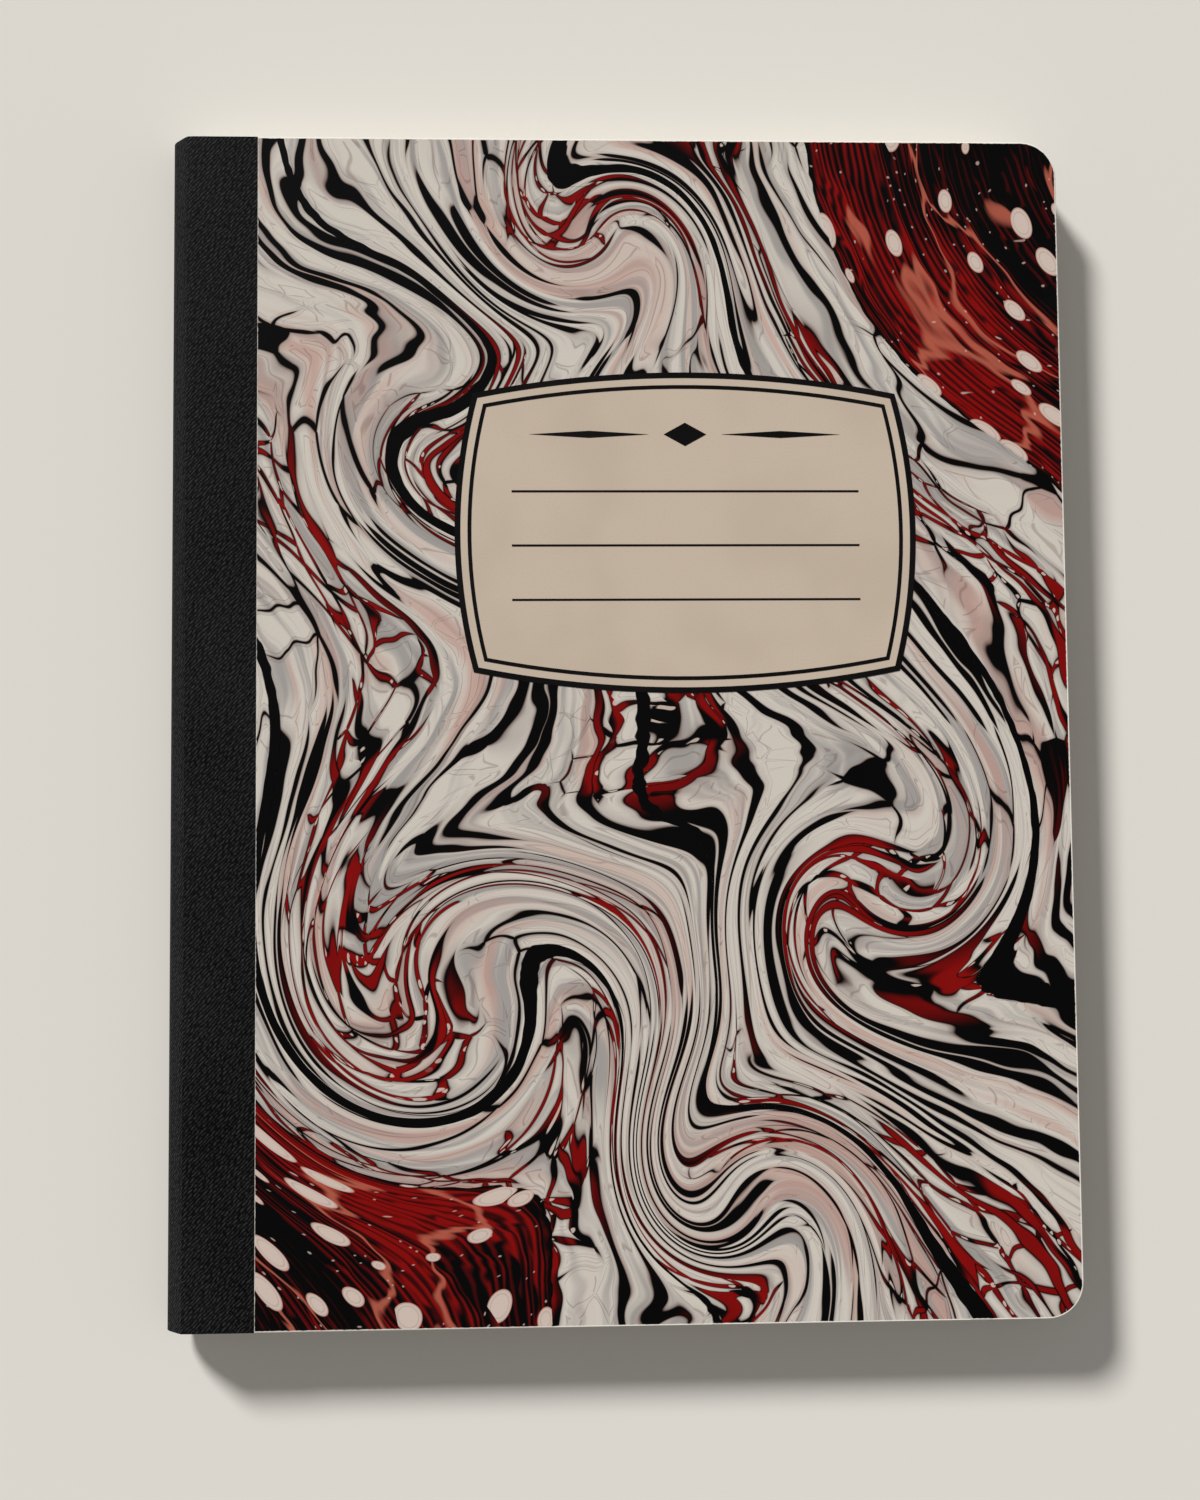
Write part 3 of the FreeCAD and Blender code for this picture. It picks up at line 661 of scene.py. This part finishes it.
    def drops(self, place: Wire, paint: Wire) -> Wire:
        """Lays large pale drops over a colour, drawn out along the flow.

        Args:
            place: Place along and across the flow.
            paint: What they lie on.

        Returns:
            The colour with its drops.
        """
        drop = self.large_drops.lay(place)
        luck = drop.luck.parts()[1]
        skin = drop.out - luck.rise(self.bare_share - 0.2, 1.0) * self.largest_drop
        core = skin.rise(-0.05, 0.0).mix(self.pebble, self.pink)
        core = ((skin + 0.085).size().rise(0.025, 0.008) * 0.3).mix(core, self.shade)
        shown = skin.step(0.0, -0.012) * luck.rise(self.bare_share, self.bare_share + 0.03)
        return shown.mix(paint, core)


@dataclass(frozen=True)
class BookCloth:
    """Black book cloth with a fine slanting grain, laid out on the cloth's own flat size."""

    name: str = "book_cloth_black"
    dark: Colour = ink("020203")
    light: Colour = ink("303031")
    slant: tuple[float, float] = (0.72, 0.69)
    thread_pitch: float = 0.6
    stroke: float = 1.9
    wander: Noise = Noise((2.6, 2.6), 2.0)
    wander_reach: float = 0.7
    patches: Noise = Noise((0.7, 0.9), 1.0, 15.0)
    dust: Noise = Noise((0.35, 0.35), 2.0, 9.0)
    rubbed: Noise = Noise((14.0, 30.0), 3.0, 2.0)
    roughness: float = 0.62
    shine: float = 0.06
    depth: float = 0.07 * MM

    def make(self) -> bpy.types.Material:
        """Builds the finish.

        Returns:
            The material.
        """
        recipe = Recipe(self.name)
        flat = recipe.run("UVMap", uv_map="flat_cloth").vectors("MULTIPLY", (1 / MM, 1 / MM, 0.0))
        u, v, _ = flat.parts()
        level, steep = self.slant
        wander = (self.wander.at(flat) - 0.5) * self.wander_reach
        warp = (u * level - v * steep + wander) * (2 * math.pi / self.thread_pitch)
        weft = (u * steep + v * level + wander) * (2 * math.pi / self.stroke)
        strokes = warp.wave() * 0.5 + 0.5
        breaks = (weft + warp * 0.5).wave() * 0.25 + 0.75
        grain = strokes * breaks * (self.patches.at(flat).rise(0.30, 0.62) * 0.75 + 0.25)
        dust = self.dust.at(flat)
        rubbed = self.rubbed.at(flat)
        tone = grain * 1.1 + dust.rise(0.45, 0.8) * 0.25 + (rubbed - 0.5) * 0.4 - 0.10
        return recipe.finish(
            tone.mix(self.dark, self.light),
            (rubbed - 0.5) * 0.2 + self.roughness,
            self.shine,
            grain * 0.8 + dust * 0.2,
            self.depth,
            Sheen_Weight=0.03,
            Sheen_Roughness=0.4,
            Sheen_Tint=(0.7, 0.7, 0.75, 1.0),
        )


@dataclass(frozen=True)
class Stock:
    """Plain paper or board: a colour with fibres and faint clouds."""

    name: str
    main: Colour
    fleck: Colour
    flecks: float
    layers: float = 0.0
    cloud: Noise = Noise((7.0, 7.0, 7.0), 3.0)
    fibre: Noise = Noise((1.1, 0.35, 0.25), 3.0, 5.0)
    ply: Noise = Noise((30.0, 30.0, 0.11), 1.0, 3.0)
    roughness: float = 0.85
    shine: float = 0.25
    depth: float = 0.03 * MM

    def make(self) -> bpy.types.Material:
        """Builds the finish.

        Returns:
            The material.
        """
        recipe = Recipe(self.name)
        spot = recipe.millimetres()
        fibre = self.fibre.at(spot)
        paint = (fibre.rise(0.55, 0.75) * self.flecks).mix(self.main, self.fleck)
        paint = ((self.cloud.at(spot) - 0.35) * 0.35).mix(paint, self.fleck)
        paint = (self.ply.at(spot).rise(0.45, 0.7) * self.layers).mix(paint, self.fleck)
        return recipe.finish(paint, self.roughness, self.shine, fibre, self.depth)


@dataclass(frozen=True)
class RuledLeaves:
    """Writing paper: ruled on its faces, with painted shade on its edges, striped where leaf lies on leaf.
    """

    half_height: float
    margin_x: float
    name: str = "ruled_leaves"
    main: Colour = ink("efeadf")
    # Colour of the fibre flecks, and of the painted shade on the leaves' edges.
    shadow: Colour = ink("b5ab9a")
    rule: Colour = ink("9fb6c8")
    margin: Colour = ink("d39a97")
    top_space: float = 24.0
    pitch: float = 8.7
    line_width: float = 0.28
    soft: float = 0.06
    fibre: Noise = Noise((0.9, 0.9, 0.3), 3.0, 3.0)
    # Stripes of the painted shade on the edges, where leaf lies on leaf.
    gap_shade_strata: Noise = Noise((60.0, 60.0, 0.16), 2.0, 7.0)
    roughness: float = 0.8
    shine: float = 0.25
    depth: float = 0.02 * MM

    def make(self) -> bpy.types.Material:
        """Builds the finish.

        Returns:
            The material.
        """
        recipe = Recipe(self.name)
        spot = recipe.millimetres()
        x, y, _ = spot.parts()
        down = (self.half_height - self.top_space - y) / self.pitch
        row = ((down + 0.5).math("FRACT") - 0.5).size() * self.pitch
        ruled = row.step(self.line_width / 2, -self.soft) * down.rise(-0.5, -0.49)
        side = (x - self.margin_x).size().step(self.line_width / 2, -self.soft)
        on_face = recipe.levelness().rise(0.95, 0.98)
        fibre = self.fibre.at(spot)
        paint = (fibre.rise(0.5, 0.9) * 0.25).mix(self.main, self.shadow)
        # Painted shade: the edges, not the faces, are darkened towards that colour in stripes, as if shade
        # lay in the gaps between the leaves.
        ply = self.gap_shade_strata.at(spot).rise(0.42, 0.68) * 0.5 + 0.3
        paint = ((1.0 - on_face) * ply).mix(paint, self.shadow)
        for line, colour in ((ruled, self.rule), (side, self.margin)):
            paint = (line * on_face * 0.8).mix(paint, colour)
        return recipe.finish(paint, self.roughness, self.shine, fibre, self.depth)


@dataclass(frozen=True)
class LabelPrint:
    """A printed colour of the label: flat ink on satin paper, faintly uneven."""

    name: str
    main: Colour
    cloud: Colour
    roughness: float
    clouds: Noise = Noise((22.0, 22.0), 2.0)
    grain: Noise = Noise((0.45, 0.45), 1.0, 5.0)
    shine: float = 0.09
    depth: float = 0.012 * MM

    def make(self) -> bpy.types.Material:
        """Builds the finish.

        Returns:
            The material.
        """
        recipe = Recipe(self.name)
        spot = recipe.millimetres()
        grain = self.grain.at(spot)
        paint = (self.clouds.at(spot).rise(0.35, 0.75) * 0.5).mix(self.main, self.cloud)
        paint = (grain.rise(0.5, 0.8) * 0.25).mix(paint, self.cloud)
        return recipe.finish(paint, self.roughness, self.shine, grain, self.depth)


def add_plane(name: str, middle: Vector, size: tuple[float, float], turn: float = 0.0) -> bpy.types.Object:
    """Adds a rectangle, with its place and size in its mesh.

    Args:
        name: The piece's name.
        middle: The rectangle's middle.
        size: Its length along its own X and Y.
        turn: How far it is then turned about Y.

    Returns:
        The new object, at the origin.
    """
    bpy.ops.object.select_all(action="DESELECT")
    bpy.ops.mesh.primitive_plane_add(size=1.0, location=middle, rotation=(0.0, turn, 0.0))
    piece = bpy.context.object
    piece.name = name
    piece.scale = (*size, 1.0)
    bpy.ops.object.transform_apply(location=True, rotation=True, scale=True)
    return piece


def choose(piece: bpy.types.Object, pick: Pick, wanted: Callable[[Item], bool]) -> None:
    """Selects, in edit mode, only the edges or faces that pass a test.

    Args:
        piece: The object in edit mode.
        pick: Edges or faces.
        wanted: The test, on the item.
    """
    bpy.ops.mesh.select_mode(type=pick.value)
    bpy.ops.mesh.select_all(action="DESELECT")
    mesh = bmesh.from_edit_mesh(piece.data)
    items = mesh.edges if pick is Pick.EDGES else mesh.faces
    for item in filter(wanted, items):
        item.select_set(True)
    bmesh.update_edit_mesh(piece.data)


def edge_middle(edge: bmesh.types.BMEdge) -> Vector:
    """Middle of an edge."""
    return (edge.verts[0].co + edge.verts[1].co) / 2


def apply_modifier(piece: bpy.types.Object, name: str, kind: str, **settings: object) -> None:
    """Adds a modifier to the active piece and applies it.

    Args:
        piece: The piece.
        name: What the modifier does.
        kind: Its type.
        settings: Values of its options.
    """
    modifier = piece.modifiers.new(name, kind)
    for option, value in settings.items():
        setattr(modifier, option, value)
    bpy.ops.object.modifier_apply(modifier=modifier.name)


def dress(piece: bpy.types.Object, material: bpy.types.Material) -> None:
    """Gives a piece one finish all over."""
    if not piece.material_slots:
        piece.data.materials.append(material)
    for slot in piece.material_slots:
        slot.material = material


def dress_node(node: str, material: bpy.types.Material) -> None:
    """Gives a node of the frame its finish."""
    dress(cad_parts[node], material)
    LOG.info("%s wears %s", node, material.name)


@dataclass
class Measures:
    """Where things are in the closed notebook, read from the frame."""

    spine_x: float = field(init=False)
    fore_x: float = field(init=False)
    half_height: float = field(init=False)
    total: float = field(init=False)
    hinge_x: float = field(init=False)
    cloth_edge_x: float = field(init=False)
    paper_top: float = field(init=False)
    block_low: Vector = field(init=False)
    block_high: Vector = field(init=False)
    corner: float = 7.5 * MM

    def __post_init__(self) -> None:
        """Reads the boxes of the nodes that the new pieces line up with."""
        self.block_low, self.block_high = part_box("page_block")
        strip_low, strip_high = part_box("front_tape_strip")
        spine_low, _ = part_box("spine_tape")
        self.spine_x = spine_low.x
        self.fore_x = self.block_high.x
        self.half_height = self.block_high.y
        self.total = strip_high.z
        self.hinge_x = strip_low.x
        self.cloth_edge_x = strip_high.x
        self.paper_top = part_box("front_cover_paper")[1].z

    @property
    def middle_z(self) -> float:
        """Height of the middle fold."""
        return self.total / 2

    @property
    def block_radius(self) -> float:
        """Half of the leaves' thickness, which is the radius of the outermost fold."""
        return (self.block_high.z - self.block_low.z) / 2

    @property
    def fold(self) -> Vector:
        """Middle of the folds, half way up the page."""
        return Vector((self.block_low.x + self.block_radius, 0.0, self.middle_z))


@dataclass
class TextBlock:
    """The folded and sewn leaves."""

    measures: Measures
    sheets: int = 50
    gap: float = 0.012 * MM
    fold_steps: int = 10
    corner_steps: int = 6
    unevenness: float = 0.11 * MM
    margin: float = 15.0
    smooth_angle: float = math.radians(30.0)
    seed: int = 7

    def build(self) -> None:
        """Models the leaves and dresses them and their thread."""
        m = self.measures
        leaves = self.model_leaves()
        dress(leaves, RuledLeaves(m.half_height / MM, m.cloth_edge_x / MM + self.margin).make())
        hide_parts("page_block")
        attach(leaves, Body.TEXT_BLOCK.value)
        dress_node("sewing_thread", Stock("waxed_thread", ink("e9e3d3"), ink("c9bfa8"), 0.5).make())
        LOG.info("leaves has %d faces", len(leaves.data.polygons))

    def model_leaves(self) -> bpy.types.Object:
        """Folds a stack of sheets round the middle fold.

        Returns:
            One piece with every sheet of the section in it.
        """
        m = self.measures
        pitch = m.block_radius / self.sheets
        first = m.fold + Vector((0.0, 0.0, pitch / 2))
        leaves = add_plane("leaves", first, (pitch - self.gap, 2 * m.half_height), math.pi / 2)
        apply_modifier(
            leaves,
            "Stack",
            "ARRAY",
            count=self.sheets,
            use_relative_offset=False,
            use_constant_offset=True,
            constant_offset_displace=(0.0, 0.0, pitch),
        )
        bpy.ops.object.mode_set(mode="EDIT")
        bpy.ops.mesh.select_all(action="SELECT")
        bpy.ops.mesh.spin(steps=self.fold_steps, angle=math.pi, center=m.fold, axis=(0.0, 1.0, 0.0))
        self.draw_out_legs(leaves)
        self.round_corners(leaves)
        bpy.ops.mesh.select_all(action="SELECT")
        bpy.ops.mesh.normals_make_consistent(inside=False)
        bpy.ops.object.mode_set(mode="OBJECT")
        self.ruffle(leaves)
        bpy.ops.object.shade_smooth_by_angle(angle=self.smooth_angle)
        return leaves

    def draw_out_legs(self, leaves: bpy.types.Object) -> None:
        """Draws the open ends of every fold out to the fore edge."""
        m = self.measures
        choose(
            leaves,
            Pick.FACES,
            lambda face: abs(face.normal.x) > 0.99 and abs(face.calc_center_median().x - m.fold.x) < NEAR,
        )
        move = {"value": (m.fore_x - m.fold.x, 0.0, 0.0)}
        bpy.ops.mesh.extrude_region_move(TRANSFORM_OT_translate=move)

    def round_corners(self, leaves: bpy.types.Object) -> None:
        """Rounds the two corners of every leaf at the fore edge."""
        m = self.measures

        def at_corner(edge: bmesh.types.BMEdge) -> bool:
            """True for the short upright edge at a leaf's fore corner."""
            place = edge_middle(edge)
            upright = abs(edge.verts[0].co.z - edge.verts[1].co.z) > NEAR
            return upright and abs(place.x - m.fore_x) < NEAR and abs(abs(place.y) - m.half_height) < NEAR

        choose(leaves, Pick.EDGES, at_corner)
        bpy.ops.mesh.bevel(offset=m.corner, segments=self.corner_steps, affect="EDGES")

    def ruffle(self, leaves: bpy.types.Object) -> None:
        """Draws each leaf back from the trimmed edge by its own small amount."""
        m = self.measures
        draw = random.Random(self.seed)
        pitch = m.block_radius / self.sheets
        backs: dict[int, float] = {}
        for vertex in leaves.data.vertices:
            leaf = math.floor((vertex.co.z - m.block_low.z) / pitch)
            back = backs.setdefault(leaf, draw.random() * self.unevenness)
            if vertex.co.x > m.fore_x - m.corner - NEAR:
                vertex.co.x -= back


@dataclass
class ClothSpine:
    """The strip of book cloth that wraps the spine, in two halves that meet half way round the fold."""

    measures: Measures
    thickness: float = 0.3 * MM
    fold_steps: int = 10
    height_steps: int = 24
    crease_depth: float = 0.16 * MM
    crease_width: float = 0.9 * MM
    crease_push: tuple[float, float] = (0.35, 0.94)
    bend_reach: float = 0.9 * MM
    bend_cuts: int = 9
    cuts_in_reach: int = 6
    smooth_angle: float = math.radians(40.0)

    def build(self) -> None:
        """Models both halves, dresses them in book cloth and hides the frame's cloth nodes."""
        finish = BookCloth().make()
        for side in Side:
            half = self.model_half(side)
            dress(half, finish)
            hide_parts("spine_tape", f"{side.word}_tape_strip")
            hinge = self.hinge(side)
            before = hinge + (self.touch(side) - hinge).normalized() * self.bend_reach
            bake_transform(half)
            flat = (self.developed_width, 2 * self.measures.half_height)
            LOG.info("%s has %d faces", half.name, len(half.data.polygons))

    @property
    def outer_radius(self) -> float:
        """Radius of the cloth's outside, round the fold."""
        return self.measures.fold.x - self.measures.spine_x

    @property
    def touch_angle(self) -> float:
        """Angle at the fold between the fore edge and the point where the cloth leaves its round."""
        m = self.measures
        corner = Vector((m.hinge_x - m.fold.x, m.total - m.middle_z))
        return math.atan2(corner.y, corner.x) + math.acos(self.outer_radius / corner.length)

    @property
    def developed_width(self) -> float:
        """Width of half the strip, laid flat."""
        m = self.measures
        hinge = self.hinge(Side.FRONT)
        flank = (self.touch(Side.FRONT) - hinge).length
        return m.cloth_edge_x - m.hinge_x + flank + self.outer_radius * (math.pi - self.touch_angle)

    def hinge(self, side: Side) -> Vector:
        """The point on the outside of the cloth that the cover turns about."""
        m = self.measures
        return Vector((m.hinge_x, 0.0, m.middle_z + side.value * m.total / 2))

    def touch(self, side: Side) -> Vector:
        """The point where the cloth's flank meets its round."""
        angle = self.touch_angle
        arm = Vector((math.cos(angle), 0.0, side.value * math.sin(angle))) * self.outer_radius
        return self.measures.fold + arm

    def model_half(self, side: Side) -> bpy.types.Object:
        """Models one half, from the strip's edge on the board to half way round the fold.

        Args:
            side: Which half.

        Returns:
            The finished piece.
        """
        m = self.measures
        hinge, touch = self.hinge(side), self.touch(side)
        width = m.cloth_edge_x - m.hinge_x
        middle = Vector((m.hinge_x + width / 2, 0.0, hinge.z))
        cloth = add_plane(f"cloth_{side.word}", middle, (width, 2 * m.half_height))
        bpy.ops.object.mode_set(mode="EDIT")
        self.pick_line(cloth, hinge)
        bpy.ops.mesh.extrude_region_move(TRANSFORM_OT_translate={"value": touch - hinge})
        self.pick_line(cloth, touch)
        turn = side.value * (math.pi - self.touch_angle)
        bpy.ops.mesh.spin(steps=self.fold_steps, angle=turn, center=m.fold, axis=(0.0, 1.0, 0.0))
        self.cut_bands(cloth, side)
        bpy.ops.mesh.select_all(action="SELECT")
        bpy.ops.mesh.remove_doubles(threshold=NEAR)
        bpy.ops.mesh.normals_make_consistent(inside=False)
        bpy.ops.object.mode_set(mode="OBJECT")
        self.lay_out(cloth, side)
        self.press_crease(cloth, side)
        self.face_outwards(cloth, side)
        apply_modifier(cloth, "Cloth", "SOLIDIFY", thickness=self.thickness, offset=-1.0)
        bpy.ops.object.shade_smooth_by_angle(angle=self.smooth_angle)
        return cloth

    def pick_line(self, cloth: bpy.types.Object, place: Vector) -> None:
        """Selects the one edge that runs up the page at a place of the section."""

        def on_line(edge: bmesh.types.BMEdge) -> bool:
            """True for an edge at that place, along Y."""
            middle = edge_middle(edge)
            return (Vector((middle.x, 0.0, middle.z)) - place).length < NEAR and edge.calc_length() > MM

        choose(cloth, Pick.EDGES, on_line)

    def cut_bands(self, cloth: bpy.types.Object, side: Side) -> None:
        """Bisects the cloth into narrow bands near the hinge, and into even ones along the page."""
        m = self.measures
        hinge = self.hinge(side)
        along = (hinge - self.touch(side)).normalized()
        for number in range(-self.bend_cuts, self.bend_cuts + 1):
            shift = number * self.bend_reach / self.cuts_in_reach
            bpy.ops.mesh.select_all(action="SELECT")
            direction = Vector((1.0, 0.0, 0.0)) if number >= 0 else along
            bpy.ops.mesh.bisect(plane_co=hinge + direction * shift, plane_no=direction)
        for number in range(1, self.height_steps):
            up = m.half_height * (2 * number / self.height_steps - 1)
            bpy.ops.mesh.select_all(action="SELECT")
            bpy.ops.mesh.bisect(plane_co=(0.0, up, 0.0), plane_no=(0.0, 1.0, 0.0))

    def developed(self, place: Vector, side: Side) -> float:
        """Distance of a point of the section from the strip's edge, over the flat cloth."""
        m = self.measures
        hinge, touch = self.hinge(side), self.touch(side)
        if place.x >= hinge.x - NEAR:
            return m.cloth_edge_x - place.x
        strip = m.cloth_edge_x - m.hinge_x
        angle = math.atan2(abs(place.z - m.middle_z), place.x - m.fold.x)
        if angle < self.touch_angle + NEAR:
            return strip + (Vector((place.x, 0.0, place.z)) - hinge).length
        return strip + (touch - hinge).length + self.outer_radius * (angle - self.touch_angle)

    def lay_out(self, cloth: bpy.types.Object, side: Side) -> None:
        """Gives the cloth a map of its own flat size, for its grain to follow."""
        layer = cloth.data.uv_layers.new(name="flat_cloth")
        for loop in cloth.data.loops:
            place = cloth.data.vertices[loop.vertex_index].co
            layer.data[loop.index].uv = (-self.developed(place, side), place.y)

    def press_crease(self, cloth: bpy.types.Object, side: Side) -> None:
        """Presses the cloth in beside the hinge, where it dips between the board and the fold."""
        hinge = self.hinge(side)
        across, down = self.crease_push
        inwards = Vector((across, 0.0, -side.value * down))
        for vertex in cloth.data.vertices:
            away = (Vector((vertex.co.x, 0.0, vertex.co.z)) - hinge).length / self.crease_width
            vertex.co += inwards * (self.crease_depth * math.exp(-away * away))

    def face_outwards(self, cloth: bpy.types.Object, side: Side) -> None:
        """Turns the faces outwards, so that the thickness goes inwards."""
        top = max(cloth.data.polygons, key=lambda face: face.center.x)
        if top.normal.z * side.value < 0:
            cloth.data.flip_normals()


@dataclass
class Covers:
    """The two stiff covers: board, lining, printed paper and, on the front, the label."""

    measures: Measures

    def build(self) -> None:
        """Dresses the nodes of both covers."""
        m = self.measures
        across = (m.cloth_edge_x / MM, m.fore_x / MM)
        face = (m.paper_top - m.middle_z) / MM
        rim = Rim(*across, m.half_height / MM, m.corner / MM, m.middle_z / MM, face)
        board = Stock("pasteboard", ink("b9ad9a"), ink("8a7f6f"), 0.7, layers=0.5).make()
        lining = Stock("lining_stock", ink("e9e4d8"), ink("cfc7b6"), 0.4).make()
        for side in Side:
            paper = MarbledPaper(f"marbled_{side.word}", rim, half_turn=side is Side.BACK).make()
            dress_node(f"{side.word}_board", board)
            dress_node(f"{side.word}_lining", lining)
            for part in ("cover_paper", "marbling_dark", "marbling_red"):
                dress_node(f"{side.word}_{part}", paper)
        dress_node("label_ground", LabelPrint("label_beige", ink("c3b2a0"), ink("b8a795"), 0.5).make())
        dress_node("label_print", LabelPrint("label_black", ink("0a0808"), ink("151212"), 0.4).make())


@dataclass
class Studio:
    """A pale floor, a soft lamp from the upper left and the camera, with its places in millimetres."""

    floor_size: float = 6.0
    floor_gap: float = 0.03 * MM
    floor_colour: Colour = ink("dcd8d0")
    floor_roughness: float = 0.9
    floor_shine: float = 0.1
    sky: float = 0.29
    lamp_level: float = 0.69
    lamp_shift: tuple[float, float, float] = (-12.0, 17.0, 13.24)
    lamp_width: float = math.radians(11.0)
    eye: tuple[float, float, float] = (-24.162, -38.596, 447.470)
    aim: tuple[float, float, float] = (-4.609, -6.038, 11.58)
    roll: float = math.radians(-0.52)
    lens: float = 50.4
    film: float = 36.0

    def build(self) -> None:
        """Sets the stage."""
        self.lay_floor()
        self.light()
        self.place_camera()
        bpy.context.scene.view_settings.view_transform = "Standard"

    def lay_floor(self) -> None:
        """A wide plain floor under the notebook."""
        floor = add_plane("floor", Vector((0.0, 0.0, -self.floor_gap)), (self.floor_size,) * 2)
        paint = Recipe("floor_paint").finish(self.floor_colour, self.floor_roughness, self.floor_shine)
        dress(floor, paint)

    def light(self) -> None:
        """A soft sun from the upper left, and an even sky that the camera sees as the floor's colour."""
        direction = Vector(self.lamp_shift).normalized()
        lamp = bpy.data.lights.new("key", "SUN")
        lamp.energy = math.pi * self.lamp_level / direction.z
        lamp.angle = self.lamp_width
        key = bpy.data.objects.new("key", lamp)
        key.rotation_euler = direction.to_track_quat("Z", "Y").to_euler()
        bpy.context.collection.objects.link(key)
        world = bpy.data.worlds.new("studio")
        world.use_nodes = True
        bpy.context.scene.world = world
        tree = world.node_tree
        sky = tree.nodes["Background"]
        sky.inputs["Strength"].default_value = self.sky
        sky.inputs["Color"].default_value = (1.0, 1.0, 1.0, 1.0)
        seen = tree.nodes.new("ShaderNodeBackground")
        seen.inputs["Color"].default_value = self.floor_colour
        rays = tree.nodes.new("ShaderNodeLightPath")
        either = tree.nodes.new("ShaderNodeMixShader")
        tree.links.new(rays.outputs["Is Camera Ray"], either.inputs[0])
        tree.links.new(sky.outputs[0], either.inputs[1])
        tree.links.new(seen.outputs[0], either.inputs[2])
        tree.links.new(either.outputs[0], tree.nodes["World Output"].inputs["Surface"])

    def place_camera(self) -> None:
        """The camera, a little to the left of and below the page's middle."""
        data = bpy.data.cameras.new("camera")
        data.sensor_fit = "VERTICAL"
        data.sensor_height = self.film
        data.lens = self.lens
        data.clip_start = 0.01
        camera = bpy.data.objects.new("camera", data)
        eye, aim = Vector(self.eye) * MM, Vector(self.aim) * MM
        back = (eye - aim).normalized()
        right = Vector((0.0, 1.0, 0.0)).cross(back).normalized()
        turn = Matrix((right, back.cross(right), back)).transposed() @ Matrix.Rotation(self.roll, 3, "Z")
        camera.matrix_world = Matrix.Translation(eye) @ turn.to_4x4()
        bpy.context.collection.objects.link(camera)
        bpy.context.scene.camera = camera


def main() -> None:
    """Builds the notebook and its studio, in order."""
    logging.basicConfig(level=logging.INFO, format="%(message)s")
    measures = Measures()
    for part in (TextBlock(measures), ClothSpine(measures), Covers(measures), Studio()):
        LOG.info("building %s", type(part).__name__)
        part.build()
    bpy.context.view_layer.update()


if __name__ == "__main__":
    main()
